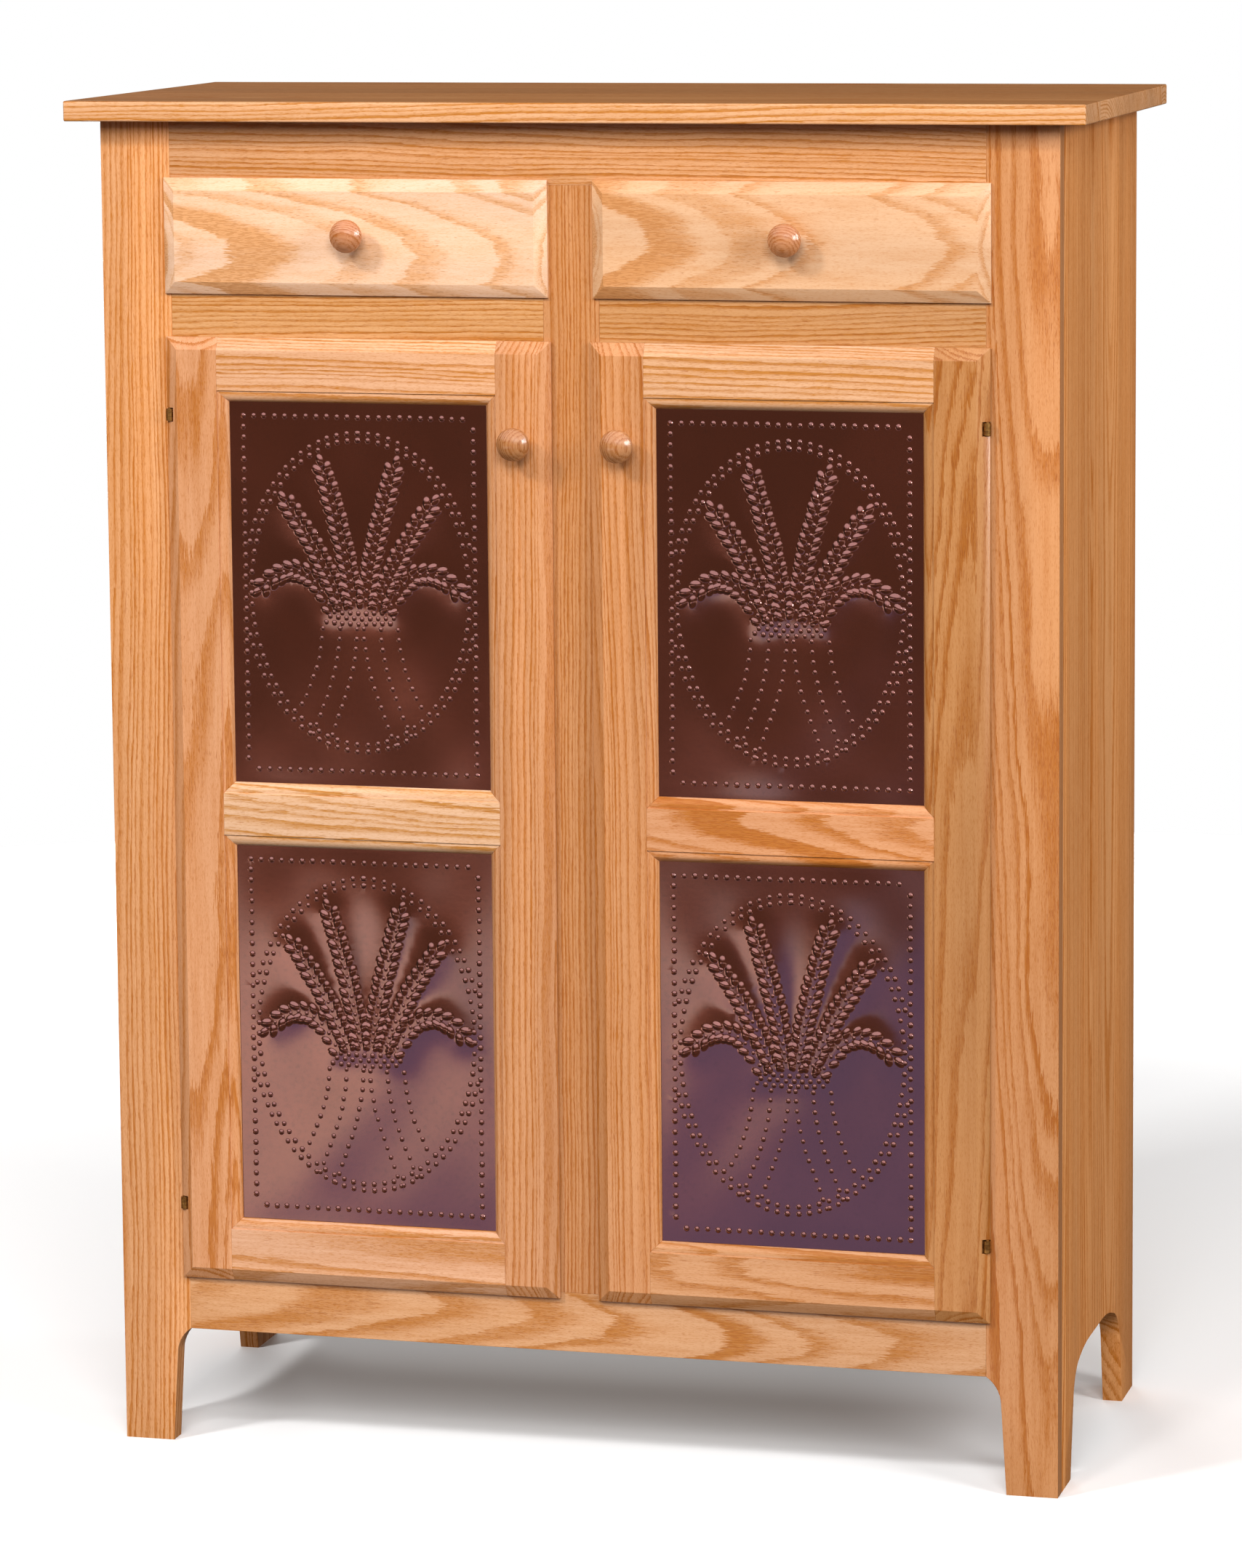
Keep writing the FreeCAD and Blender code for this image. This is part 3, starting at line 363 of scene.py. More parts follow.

# Each solid board and knob that shows: its wood, grain axis and face, how far behind the
# face and aside the pith lies (mm), the pith's tilt, the ring width (mm), a seed and a
# tint, partly the stain's own tone and partly painted light and shade, set board by board.
FRONT_BOARDS = {
    "left_stile": (HONEY, "z", FRONT, 50, 65, 0.012, 3.4, 1.7, (1.09, 1.08, 0.94)),
    "right_stile": (HONEY, "z", FRONT, 85, -26, 0.022, 4.0, 5.9, (0.84, 0.78, 0.62)),
    "centre_stile": (HONEY, "z", FRONT, 50, 80, 0.006, 3.2, 8.2, (0.84, 0.79, 0.63)),
    "top_rail": (HONEY, "x", FRONT, 60, 60, 0.02, 2.9, 11.5, (0.90, 0.94, 0.89)),
    "bottom_rail": (HONEY, "x", FRONT, 95, 6, -0.05, 4.6, 13.1, (0.90, 0.98, 0.96)),
    "left_mid_rail": (HONEY, "x", FRONT, 60, -55, 0.02, 3.2, 14.4, (0.87, 0.93, 0.79)),
    "right_mid_rail": (HONEY, "x", FRONT, 60, 55, -0.015, 3.2, 16.9, (0.80, 0.83, 0.68)),
    "left_drawer_front": (PALE, "x", FRONT, 110, -20, -0.085, 6.2, 51.0, (1.13, 1.16, 1.32)),
    "right_drawer_front": (PALE, "x", FRONT, 110, -4, -0.085, 6.2, 57.0, (0.98, 0.92, 0.88)),
    "left_door_hinge_stile": (HONEY, "z", FRONT, 95, 16, 0.022, 3.9, 71.0, (0.97, 0.95, 0.91)),
    "left_door_meeting_stile": (HONEY, "z", FRONT, 50, 60, 0.012, 3.8, 72.3, (0.89, 0.87, 0.81)),
    "right_door_hinge_stile": (HONEY, "z", FRONT, 95, -20, -0.022, 3.9, 83.0, (0.67, 0.63, 0.44)),
    "right_door_meeting_stile": (HONEY, "z", FRONT, 50, -60, 0.012, 3.8, 84.3, (0.86, 0.82, 0.71)),
    "left_door_top_rail": (HONEY, "x", FRONT, 70, 50, 0.02, 3.2, 73.3, (1.12, 1.25, 1.38)),
    "left_door_mid_rail": (HONEY, "x", FRONT, 70, 30, 0.02, 3.2, 74.3, (1.07, 1.35, 1.65)),
    "left_door_bottom_rail": (HONEY, "x", FRONT, 70, 10, 0.02, 3.2, 75.3, (1.04, 1.17, 1.38)),
    "right_door_top_rail": (HONEY, "x", FRONT, 70, 50, 0.02, 3.2, 85.3, (1.00, 1.16, 1.30)),
    "right_door_mid_rail": (HONEY, "x", FRONT, 90, 8, 0.05, 4.2, 86.3, (1.00, 0.98, 0.94)),
    "right_door_bottom_rail": (HONEY, "x", FRONT, 70, 10, 0.02, 3.2, 87.3, (0.85, 0.89, 0.87)),
    "left_drawer_knob": (HONEY, "x", FRONT, 160, 120, 0.05, 2.2, 61.0, (0.82, 0.73, 0.68)),
    "right_drawer_knob": (HONEY, "x", FRONT, 160, 120, 0.05, 2.2, 64.1, (0.79, 0.70, 0.60)),
    "left_door_knob": (HONEY, "z", FRONT, 160, 120, 0.05, 2.2, 62.7, (0.63, 0.57, 0.43)),
    "right_door_knob": (HONEY, "z", FRONT, 160, 120, 0.05, 2.2, 66.3, (0.67, 0.63, 0.53)),
}

# Boards glued up from staves: wood, grain, face, ring width (mm), seed, stave width (mm),
# gloss and a tint, partly the stain's own tone and partly painted light and shade.
GLUED_BOARDS = {
    "top": (HONEY, "x", UP, 3.6, 3.3, 105, 0.1, (1.17, 1.33, 1.42)),
    "left_side_panel": (HONEY, "z", LEFT, 4.2, 21.2, 125, 0.05, (1.12, 1.06, 0.88)),
    "right_side_panel": (HONEY, "z", RIGHT, 4.2, 24.7, 125, 0.05, (1.33, 1.25, 0.93)),
    "back_boards": (PALE, "z", BACK, 4.2, 27.1, 168.8, 0.05, (1.05, 1.0, 0.9)),
    "case_bottom": (PALE, "x", UP, 4.2, 31.0, 118, 0.1, (1.0, 1.0, 1.0)),
    "lower_shelf": (PALE, "x", UP, 4.2, 33.3, 118, 0.1, (1.0, 1.0, 1.0)),
    "upper_shelf": (PALE, "x", UP, 4.2, 35.6, 118, 0.1, (1.0, 1.0, 1.0)),
    "left_drawer_bottom": (PALE, "x", UP, 4.2, 55.9, 120, 0.05, (1.0, 1.0, 1.0)),
    "right_drawer_bottom": (PALE, "x", UP, 4.2, 61.9, 120, 0.05, (1.0, 1.0, 1.0)),
}

TOP_PAINTED_SHADE = (0.5, 0.43, 0.3)   # painted shade: the upper face of the top made darker for the less light it takes, with a little darker tone of its own
GLUED_LOG = (0.06, 0.0, 0.018)   # pith behind and aside, and its tilt
INNER_LOG = (0.075, 0.035, 0.015)
INNER_RING = 4.2 * MM
INNER_SEED, INNER_SEED_STEP = 101.0, 2.3
BOARD_GLOSS, KNOB_GLOSS, INNER_GLOSS = 0.3, 0.9, 0.05
GLUED_MIRROR = 0.22
HONEY_WANDER, PALE_WANDER = 0.02, 0.014

# Plain inner boards: grain and face.
INNER_BOARDS = {
    "drawer_web_frame": ("y", UP),
    "drawer_guides": ("y", UP),
    "top_cleats": ("y", UP),
}
for side in SIDES:
    INNER_BOARDS[side + "_drawer_inner_side"] = ("y", RIGHT)
    INNER_BOARDS[side + "_drawer_outer_side"] = ("y", RIGHT)
    INNER_BOARDS[side + "_drawer_back"] = ("x", BACK)
    INNER_BOARDS[side + "_door_tin_stops"] = ("z", BACK)


def dress_boards():
    for node, row in FRONT_BOARDS.items():
        wood, grain, face, behind, aside, tilt, ring, seed, tint = row
        oak_board(node, grain, face, behind * MM, aside * MM, tilt, ring * MM,
                  colours=tinted(wood, *tint), seed=seed,
                  gloss=KNOB_GLOSS if node.endswith("knob") else BOARD_GLOSS,
                  wander=PALE_WANDER if wood is PALE else HONEY_WANDER)
    for node, row in GLUED_BOARDS.items():
        wood, grain, face, ring, seed, stave, gloss, tint = row
        oak_board(node, grain, face, *GLUED_LOG, ring * MM, colours=tinted(wood, *tint),
                  seed=seed, gloss=gloss, stave=stave * MM, mirror=GLUED_MIRROR,
                  upper=TOP_PAINTED_SHADE if node == "top" else None)
    for index, (node, (grain, face)) in enumerate(INNER_BOARDS.items()):
        oak_board(node, grain, face, *INNER_LOG, INNER_RING, colours=PALE,
                  seed=INNER_SEED + INNER_SEED_STEP * index, gloss=INNER_GLOSS)


# ---------------------------------------------------------------------------
# Metals and the catch
# ---------------------------------------------------------------------------


def copper_material(name, seed):
    """Lacquered copper sheet, nearly a mirror, with faint clouds and darker specks."""
    material, tree, shader = new_material(name)
    place = tree.vector("ADD", object_place(tree), (seed, 0.3 * seed, 0.7 * seed))
    cloud = tree.noise(place, 9.0, 3, 0.55)
    speck = tree.noise(place, 220.0, 3, 0.65)
    rub = tree.noise(tree.scaled(place, 30, 30, 160), 1.0, 2)
    colour = tree.mix(tree.ramp(cloud, 0.3, 0.72), srgb(112, 66, 58), srgb(124, 74, 64))
    colour = tree.mix(tree.math("MULTIPLY", tree.ramp(speck, 0.5, 0.8), 0.35), colour,
                      srgb(88, 54, 48))
    rough = tree.math("MULTIPLY_ADD", cloud, 0.06, 0.06)
    rough = tree.math("MULTIPLY_ADD", speck, 0.06, rough)
    height = tree.math("ADD", tree.math("MULTIPLY", rub, 0.4), speck)
    bump = tree.node("ShaderNodeBump", {"Strength": 0.06, "Distance": 0.0002,
                                        "Height": height})
    tree.feed(shader.inputs["Base Color"], colour)
    tree.feed(shader.inputs["Roughness"], rough)
    tree.feed(shader.inputs["Normal"], bump.outputs[0])
    shader.inputs["Metallic"].default_value = 1.0
    shader.inputs["Coat Weight"].default_value = 1.0
    shader.inputs["Coat IOR"].default_value = 1.7
    shader.inputs["Coat Roughness"].default_value = 0.05
    return material


def metal_material(name, bright, dull, low, high):
    """Brass or steel with fine scratches and a little tarnish, rough from low to high."""
    material, tree, shader = new_material(name)
    place = object_place(tree)
    tarnish = tree.noise(place, 160.0, 4, 0.6)
    scratch = tree.noise(tree.scaled(place, 900, 900, 4000), 1.0, 2)
    colour = tree.mix(tree.ramp(tarnish, 0.35, 0.7), bright, dull)
    rough = tree.math("MULTIPLY_ADD", tarnish, high - low, low)
    bump = tree.node("ShaderNodeBump", {"Strength": 0.15, "Distance": 0.00005,
                                        "Height": scratch})
    tree.feed(shader.inputs["Base Color"], colour)
    tree.feed(shader.inputs["Roughness"], rough)
    tree.feed(shader.inputs["Normal"], bump.outputs[0])
    shader.inputs["Metallic"].default_value = 1.0
    return material


def plastic_material():
    material, tree, shader = new_material("catch_moulding")
    grain = tree.noise(object_place(tree), 1800.0, 2)
    colour = tree.mix(grain, srgb(58, 40, 28), srgb(78, 56, 40))
    bump = tree.node("ShaderNodeBump", {"Strength": 0.2, "Distance": 0.00005,
                                        "Height": grain})
    tree.feed(shader.inputs["Base Color"], colour)
    tree.feed(shader.inputs["Normal"], bump.outputs[0])
    shader.inputs["Roughness"].default_value = 0.5
    return material


def dress_hardware():
    brass = metal_material("brass", srgb(176, 140, 80), srgb(120, 88, 46), 0.25, 0.45)
    steel = metal_material("steel", srgb(190, 190, 192), srgb(140, 140, 144), 0.3, 0.45)
    for node in ("hinge_frame_leaves", "hinge_pins", "hinge_frame_screws"):
        wear(NODES[node], brass)
    for side in SIDES:
        wear(NODES[side + "_hinge_door_leaves"], brass)
        wear(NODES[side + "_door_screws"], brass)
        wear(NODES[side + "_drawer_knob_screw"], steel)
        wear(NODES[side + "_door_strike_plate"], steel)
    wear(NODES["top_screws"], steel)
    wear(NODES["door_catches"], plastic_material())


# ---------------------------------------------------------------------------
# Punched copper panels
# ---------------------------------------------------------------------------

SIGHT_INSET = Vector((8.5, 7.5)) * MM   # edge of the sheet hidden behind the moulding
DOT_RADIUS = 2.35 * MM
DOT_HEIGHT = 1.3 * MM
DOT_STEP = 9.5 * MM
BORDER_INSET = 12.5 * MM
OVAL_CENTRE = Vector((0.0, 2.0)) * MM
OVAL_HALF = Vector((107.0, 142.0)) * MM
OVAL_GAP = 6.2 * MM
TIE = Vector((0.0, -21.0)) * MM
EARS = (   # root, bend and tip of each ear of the right-hand half, in millimetres
    ((5, -8), (13, 48), (33, 112)),
    ((17, -10), (33, 34), (66, 80)),
    ((27, -12), (52, 42), (90, 6)),
)
STEMS = ((3, 0.37, 104), (19, 0.40, 98), (35, 0.51, 74))   # foot, spread and length
KERNEL = Vector((5.5, 3.5, 1.8)) * MM
KERNEL_STEP = 8.8 * MM
KERNEL_ROW = 5.6 * MM
KERNEL_LEAN = math.radians(34)
PILLOW_HIGH = 0.65 * MM   # how far the sheet swells where the ears are worked, and how wide
PILLOW_WIDE = 15 * MM
WAVE_HIGH = 0.3 * MM
BUMP_RINGS = (1.18, 1.0, 0.74, 0.42)   # rings of points on a bump; the first guards its edge
KERNEL_SIDES, DOT_SIDES = 14, 11
SHEET_GRID = (40, 58)
NEAR_CELL = 12 * MM
OVAL_STEPS = 720
CURVE_STEPS = 40
EAR_STEPS = 24
SHEET_SHARE = 0.8   # thickness of the worked sheet as a share of the flat plate's


class Bump:
    """A dot or kernel raised in the sheet: an ellipse with a rounded top."""

    def __init__(self, centre, half_long, half_wide, height, angle=0.0):
        self.centre = centre
        self.half = (half_long, half_wide)
        self.height = height
        self.turn = Matrix.Rotation(angle, 2)
        self.back = Matrix.Rotation(-angle, 2)

    def rise(self, spot):
        local = self.back @ (spot - self.centre)
        reach = math.hypot(local.x / self.half[0], local.y / self.half[1])
        if reach >= 1:
            return 0.0
        return self.height * (1 - reach * reach) ** 1.15

    def ring(self, share, count):
        return [self.centre + self.turn @ Vector((
            self.half[0] * share * math.cos(2 * math.pi * i / count),
            self.half[1] * share * math.sin(2 * math.pi * i / count)))
            for i in range(count)]


def jitter(chance, amount=0.3 * MM):
    """A small random step, since the punching was done by hand."""
    return Vector((chance.uniform(-amount, amount), chance.uniform(-amount, amount)))


def dot(spot, chance, size=1.0):
    """A round dot near a spot, a little larger or smaller than the rest."""
    swell = size * chance.uniform(0.9, 1.1)
    return Bump(spot + jitter(chance), DOT_RADIUS * swell, DOT_RADIUS * swell,
                DOT_HEIGHT * swell)


def border_dots(half, chance):
    """A row of dots along each side of the panel."""
    reach = Vector((half.x - BORDER_INSET, half.y - BORDER_INSET))
    bumps = []
    for axis, fixed in ((0, 1), (1, 0)):
        count = round(2 * reach[axis] / DOT_STEP)
        for index in range(count):
            for sign in (-1, 1):
                spot = Vector((0, 0))
                spot[axis] = sign * (-reach[axis] + 2 * reach[axis] * index / count)
                spot[fixed] = sign * reach[fixed]
                bumps.append(dot(spot, chance))
    return bumps


def oval_spots(half, step):
    """Points an even step apart round an ellipse."""
    fine = [OVAL_CENTRE + Vector((half.x * math.sin(math.pi * i / (OVAL_STEPS / 2)),
                                  half.y * math.cos(math.pi * i / (OVAL_STEPS / 2))))
            for i in range(OVAL_STEPS)]
    lengths = [(fine[i - 1] - fine[i]).length for i in range(OVAL_STEPS)]
    count = round(sum(lengths) / step)
    spots = []
    gone, due = 0.0, 0.0
    for spot, length in zip(fine, lengths):
        gone += length
        if gone >= due:
            spots.append(spot)
            due += sum(lengths) / count
    return spots


def oval_dots(half, chance):
    """Two rings of dots round the sheaf, left out where they meet the border."""
    reach = half.x - BORDER_INSET - 1.3 * DOT_RADIUS
    bumps = []
    for gap in (0.0, OVAL_GAP):
        size = Vector((OVAL_HALF.x - gap, OVAL_HALF.y - gap))
        for spot in oval_spots(size, DOT_STEP):
            if abs(spot.x) < reach:
                bumps.append(dot(spot, chance, 0.95))
    return bumps


def bend(points, share):
    """A point on the curve from root by bend to tip, and its heading."""
    root, middle, tip = (Vector(p) * MM for p in points)
    spot = (1 - share) ** 2 * root + 2 * share * (1 - share) * middle + share ** 2 * tip
    way = (1 - share) * (middle - root) + share * (tip - middle)
    return spot, way.normalized()


def ear_axes():
    """The six ears' curves: the right-hand three and their mirror images."""
    return [tuple((sign * x, y) for x, y in ear) for ear in EARS for sign in (-1, 1)]


def ear_bumps(points, chance):
    """One ear: two rows of kernels that lean out from the stalk, and dots between."""
    curve = [bend(points, i / CURVE_STEPS)[0] for i in range(CURVE_STEPS + 1)]
    length = sum((b - a).length for a, b in zip(curve, curve[1:]))
    count = round(length / KERNEL_STEP)
    bumps = []
    for index in range(count + 1):
        spot, along = bend(points, index / count)
        across = Vector((along.y, -along.x))
        share = index / count
        apart = KERNEL_ROW * (0.8 + 0.3 * math.sin(math.pi * (0.15 + 0.75 * share)))
        plump = 0.88 + 0.2 * share
        for side in (-1, 1):
            turn = math.atan2(along.y, along.x) - side * KERNEL_LEAN
            bumps.append(Bump(spot + side * apart * across + jitter(chance, 0.6 * MM),
                              KERNEL.x * plump, KERNEL.y * plump, KERNEL.z * plump, turn))
        if index < count:
            bumps.append(dot(spot + along * KERNEL_STEP / 2, chance, 0.7))
    spot, along = bend(points, 1.0)
    turn = math.atan2(along.y, along.x)
    bumps.append(Bump(spot + along * 8 * MM, KERNEL.x, KERNEL.y, KERNEL.z, turn))
    return bumps


def stem_dots(foot, spread, length, chance):
    """A dotted stem that leaves the tie upright and bends outward."""
    bumps = []
    fall = 0.0
    side = foot
    while fall < length:
        bumps.append(dot(TIE + Vector((side, -9 - fall)) * MM, chance, 0.85))
        slope = spread * min(1.0, 0.15 + fall / 70)
        fall += 9.0 / math.hypot(1, slope)
        side += math.copysign(9.0 * slope / math.hypot(1, slope), foot)
    return bumps


def tie_dots(chance):
    """Three staggered rows of dots that bind the sheaf."""
    bumps = []
    for row in (-1, 0, 1):
        for column in range(-4, 5):
            across = 7.4 * (column + (0.25 if row == 0 else -0.25))
            sag = 1.5 * (column / 4) ** 2
            bumps.append(dot(TIE + Vector((across, 4.8 * row + sag)) * MM, chance, 0.9))
    return bumps


def panel_bumps(half, chance):
    """Every bump of one panel: border, oval, tie, ears and stems."""
    bumps = border_dots(half, chance) + oval_dots(half, chance) + tie_dots(chance)
    for points in ear_axes():
        bumps += ear_bumps(points, chance)
    for foot, spread, length in STEMS:
        for sign in (-1, 1):
            bumps += stem_dots(sign * foot, spread, length, chance)
    return bumps


def ear_tree():
    """The ears' curves as points to measure from."""
    spots = [bend(points, i / EAR_STEPS)[0]
             for points in ear_axes() for i in range(EAR_STEPS + 1)]
    tree = KDTree(len(spots))
    for index, spot in enumerate(spots):
        tree.insert(spot.to_3d(), index)
    tree.balance()
    return tree


def sheet_wave(spot, half, phase, tree):
    """Hand-punched sheet pillows forward where it is worked and waves between."""
    window = max(0.0, 1 - (spot.x / half.x) ** 4) * max(0.0, 1 - (spot.y / half.y) ** 4)
    swell = (math.sin(31 * spot.x + phase) * math.sin(23 * spot.y + 1.7 * phase)
             + 0.6 * math.sin(57 * spot.x + 2 * phase) * math.cos(41 * spot.y - phase))
    away = tree.find(spot.to_3d())[2] / PILLOW_WIDE
    return window * (WAVE_HIGH * (1 + swell) + PILLOW_HIGH * math.exp(-away * away))


def near_table(bumps):
    """Lists the bumps that may reach each cell of a square grid."""
    def cells(middle, reach):
        return range(int((middle - reach) // NEAR_CELL),
                     int((middle + reach) // NEAR_CELL) + 1)
    near = {}
    for item in bumps:
        reach = max(item.half)
        for i in cells(item.centre.x, reach):
            for j in cells(item.centre.y, reach):
                near.setdefault((i, j), []).append(item)
    return near


def punched_mesh(bumps, half):
    """A flat triangulation with rings of points on every bump, and a grid between."""
    spots = []
    segments = []
    for item in bumps:
        sides = KERNEL_SIDES if item.half[0] > 3 * MM else DOT_SIDES
        for share in BUMP_RINGS:
            start = len(spots)
            spots += item.ring(share, sides)
            segments += [(start + i, start + (i + 1) % sides) for i in range(sides)]
        spots.append(item.centre)
    columns, rows = SHEET_GRID
    for row in range(rows + 1):
        for column in range(columns + 1):
            spots.append(Vector((half.x * (2 * column / columns - 1),
                                 half.y * (2 * row / rows - 1))))
    found, _, faces, _, _, _ = delaunay_2d_cdt(spots, segments, [], 0, 1e-6)
    return found, faces


def punched_panel(node, body, seed, tree):
    """Replaces a flat CAD plate with the embossed sheet."""
    low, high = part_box(node)
    middle = (low + high) / 2
    size = high - low
    half = Vector((size.x / 2, size.z / 2))
    sight = half - SIGHT_INSET
    bumps = panel_bumps(sight, random.Random(seed))
    found, faces = punched_mesh(bumps, half)
    near = near_table(bumps)
    corners = []
    for spot in found:
        close = near.get((int(spot.x // NEAR_CELL), int(spot.y // NEAR_CELL)), ())
        rise = max((item.rise(spot) for item in close), default=0.0)
        rise += sheet_wave(spot, sight, seed, tree)
        corners.append((middle.x + spot.x, low.y - rise, middle.z + spot.y))
    mesh = bpy.data.meshes.new(node + "_sheet")
    mesh.from_pydata(corners, [], faces)
    for polygon in mesh.polygons:
        polygon.use_smooth = True
    piece = bpy.data.objects.new(node + "_punched", mesh)
    bpy.context.scene.collection.objects.link(piece)
    flip_towards(piece, Vector(FRONT))
    solid = piece.modifiers.new("thickness", "SOLIDIFY")
    solid.thickness = size.y * SHEET_SHARE
    solid.offset = -1
    mesh.materials.append(copper_material(node + "_copper", seed))
    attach(piece, body)
    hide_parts(node)


def flip_towards(piece, way):
    """Turns the faces so that they look along a direction."""
    mesh = piece.data
    if sum((p.normal for p in mesh.polygons), Vector()).dot(way) < 0:
        mesh.flip_normals()


# ---------------------------------------------------------------------------
# Stage: floor, world, lights and camera
# ---------------------------------------------------------------------------


def make_floor():
    """A plain pale floor that brightens into the white backdrop away from the object."""
    mesh = bmesh.new()
    bmesh.ops.create_circle(mesh, cap_ends=True, radius=FLOOR_RADIUS, segments=96)
    data = bpy.data.meshes.new("floor")
    mesh.to_mesh(data)
    mesh.free()
    floor = bpy.data.objects.new("floor", data)
    bpy.context.scene.collection.objects.link(floor)
    material, tree, shader = new_material("floor")
    away = tree.node("ShaderNodeVectorMath", {0: object_place(tree)},
                     operation="LENGTH").outputs["Value"]
    shader.inputs["Base Color"].default_value = (0.93, 0.93, 0.93, 1)
    shader.inputs["Roughness"].default_value = 0.9
    shader.inputs["Emission Color"].default_value = (1, 1, 1, 1)
    tree.feed(shader.inputs["Emission Strength"],
              tree.ramp(away, FLOOR_GLOW[0], FLOOR_GLOW[1], 0.0, FLOOR_GLOW[2]))
    data.materials.append(material)
    floor.visible_diffuse = False
    floor.visible_glossy = False


def make_world():
    """White to the camera, a dim even light for the object, and a room for its gloss.

    The room is dark. In front, a band below the horizon holds a carpet that is warm on the
    left, cool in the middle and copper-toned on the right, and high up it is bright.
    """
    world = bpy.data.worlds.new("studio")
    bpy.context.scene.world = world
    world.use_nodes = True
    tree = Tree(world.node_tree)
    for item in list(world.node_tree.nodes):
        world.node_tree.nodes.remove(item)
    way = tree.node("ShaderNodeSeparateXYZ", {
        0: tree.node("ShaderNodeTexCoord").outputs["Generated"]}).outputs
    rays = tree.node("ShaderNodeLightPath").outputs
    sky = tree.ramp(way[2], 0.0, 1.0, AMBIENT["horizon"], AMBIENT["zenith"], smooth=False)
    below = tree.math("LESS_THAN", way[2], 0.0)
    even = tree.math("MULTIPLY_ADD", below, AMBIENT["below"] - AMBIENT["horizon"], sky)
    fallen = tree.math("MULTIPLY", way[2], -1.0)
    slant = tree.math("MULTIPLY_ADD", way[0], ROOM["slant"], fallen)
    carpet = tree.mix(tree.ramp(slant, *ROOM["cool_slant"]), ROOM["warm"], ROOM["cool"])
    carpet = tree.mix(tree.ramp(way[0], *ROOM["right_edge"]), carpet, ROOM["right"])
    carpet = tree.mix(tree.ramp(way[2], *ROOM["near"]), carpet, ROOM["far"])
    ahead = tree.mix(tree.ramp(way[2], *ROOM["edge"]), ROOM["far"], carpet)
    walls = tree.mix(tree.ramp(way[1], *ROOM["front"]), ROOM["behind"], ahead)
    rise = tree.math("MULTIPLY", tree.ramp(way[2], *ROOM["rise"]),
                     tree.ramp(way[1], *ROOM["high_front"]))
    mirrored = tree.mix(rise, walls, ROOM["high"])
    white = (1, 1, 1, 1)
    plain = tree.node("ShaderNodeBackground", {"Color": white, "Strength": even})
    gloss = tree.node("ShaderNodeBackground", {"Color": mirrored, "Strength": 1.0})
    shown = tree.node("ShaderNodeBackground", {"Color": white, "Strength": 1.0})
    lit = tree.node("ShaderNodeMixShader", {0: rays["Is Glossy Ray"], 1: plain.outputs[0],
                                            2: gloss.outputs[0]})
    both = tree.node("ShaderNodeMixShader", {0: rays["Is Camera Ray"], 1: lit.outputs[0],
                                             2: shown.outputs[0]})
    tree.feed(tree.node("ShaderNodeOutputWorld").inputs[0], both.outputs[0])


def add_light(name, place, aim, size, power, glint):
    """A soft box at a place, turned to a point; glint says whether gloss mirrors it."""
    light = bpy.data.lights.new(name, "AREA")
    light.shape = "RECTANGLE"
    light.size, light.size_y = size
    light.energy = power
    item = bpy.data.objects.new(name, light)
    bpy.context.scene.collection.objects.link(item)
    item.location = place
    item.rotation_euler = (Vector(aim) - Vector(place)).to_track_quat("-Z", "Y").to_euler()
    item.visible_camera = False
    item.visible_glossy = glint


def make_camera():
    """The photograph's standpoint: to the right, at eye height, with a long lens."""
    data = bpy.data.cameras.new("camera")
    data.lens = LENS
    data.shift_y = SHIFT
    camera = bpy.data.objects.new("camera", data)
    bpy.context.scene.collection.objects.link(camera)
    ahead = Vector((-math.sin(YAW) * math.cos(PITCH), math.cos(YAW) * math.cos(PITCH),
                    math.sin(PITCH)))
    right = ahead.cross(Vector(UP)).normalized()
    up = right.cross(ahead)
    tilted_right = right * math.cos(ROLL) + up * math.sin(ROLL)
    tilted_up = up * math.cos(ROLL) - right * math.sin(ROLL)
    turn = Matrix((tilted_right, tilted_up, -ahead)).transposed()
    camera.matrix_world = Matrix.Translation(STANDPOINT) @ turn.to_4x4()
    bpy.context.scene.camera = camera


STANDPOINT = Vector((1.3155, -4.9408, 1.4309))
YAW, PITCH, ROLL = 0.2611, -0.1338, -0.0085
LENS = 130.7
SHIFT = -0.106
FLOOR_RADIUS = 3.2
FLOOR_GLOW = (1.3, 3.1, 0.55)   # the floor's own light: where it begins, is full, how bright
AMBIENT = {"below": 0.11, "horizon": 0.03, "zenith": 0.2}

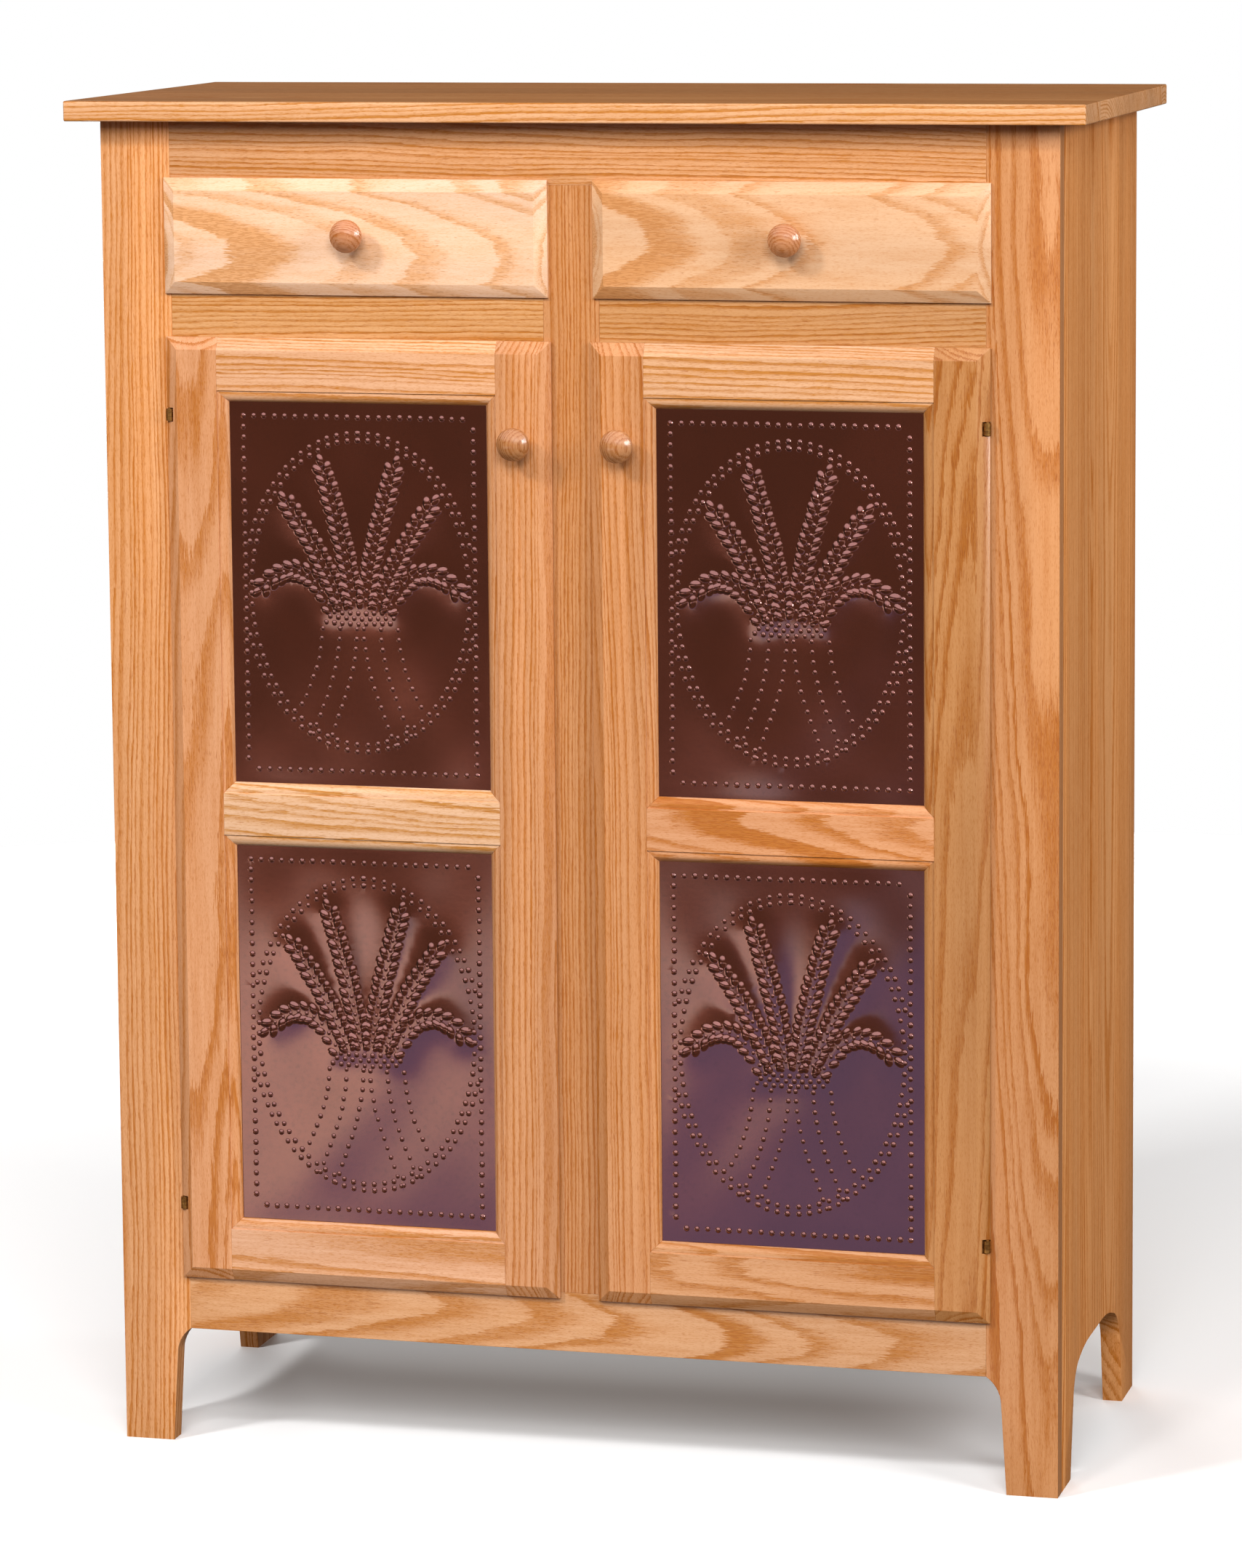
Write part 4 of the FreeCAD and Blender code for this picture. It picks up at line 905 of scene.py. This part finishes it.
# What glossy surfaces see: the colours of the room's parts, then where one part passes into
# the next. Limits are the x (right_edge), y (front, high_front) or z (edge, near, rise) of
# the direction that is looked in, and cool_slant is slant times x, less z.
ROOM = {
    "behind": (0.12, 0.08, 0.06, 1),
    "far": (0.29, 0.15, 0.09, 1),
    "high": (1.9, 1.65, 1.72, 1),
    "warm": (1.9, 1.55, 1.32, 1),
    "cool": (0.46, 0.42, 0.74, 1),
    "right": (1.05, 0.8, 0.68, 1),
    "edge": (-0.172, -0.196),
    "near": (-0.28, -0.42),
    "slant": 0.6,
    "cool_slant": (0.03, 0.085),
    "right_edge": (-0.06, 0.1),
    "front": (-0.3, -0.6),
    "rise": (0.16, 0.5),
    "high_front": (0.5, -0.2),
}

# Each light's place, aim, size, power and whether gloss mirrors it.
LIGHTS = {
    "key": ((-3.45, -4.3, 4.95), (0, 0, 0.65), (0.88, 0.88), 236, False),
    "second": ((-0.4, -3.4, 4.3), (0, 0, 0.65), (0.5, 0.5), 40, False),
    "side": ((3.6, -1.9, 2.1), (0, 0, 0.6), (1.2, 1.4), 96, True),
    "front": ((1.96, -7.3, 4.66), (0, 0, 0.6), (4.2, 3.1), 268, False),
    "front_glint": ((1.96, -7.3, 4.66), (0, 0, 0.6), (4.2, 3.1), 300, True),
    "floor_bounce": ((0, -0.52, 0.03), (0, -0.18, 0.05), (1.3, 0.06), 0.42, False),
    "rear": ((-1.6, 4.2, 0.65), (0, 0, 0.6), (1.6, 0.7), 105, True),
    "rear_left": ((-2.8, 2.6, 3.2), (0, 0, 0.6), (1.5, 1.5), 24, True),
    "rear_right": ((3.4, 1.5, 3.0), (0, 0, 0.6), (1.5, 1.5), 16, True),
}
EDGE_EASE = 0.35   # millimetres, on the edges of sawn boards

dress_boards()
dress_hardware()
ears = ear_tree()
for index, side in enumerate(SIDES):
    for shift, level in enumerate(("upper", "lower")):
        punched_panel(f"{side}_door_{level}_tin", side + "_door", 1 + 2 * index + shift,
                      ears)

for name, item in NODES.items():
    wooden = item.data.materials[0].name.startswith("oak_")
    rounded_in_cad = "knob" in name or name == "top"
    finish_edges(item, EDGE_EASE if wooden and not rounded_in_cad else 0)

bpy.context.scene.view_settings.view_transform = "Standard"
make_floor()
make_world()
make_camera()
for name, settings in LIGHTS.items():
    add_light(name, *settings)
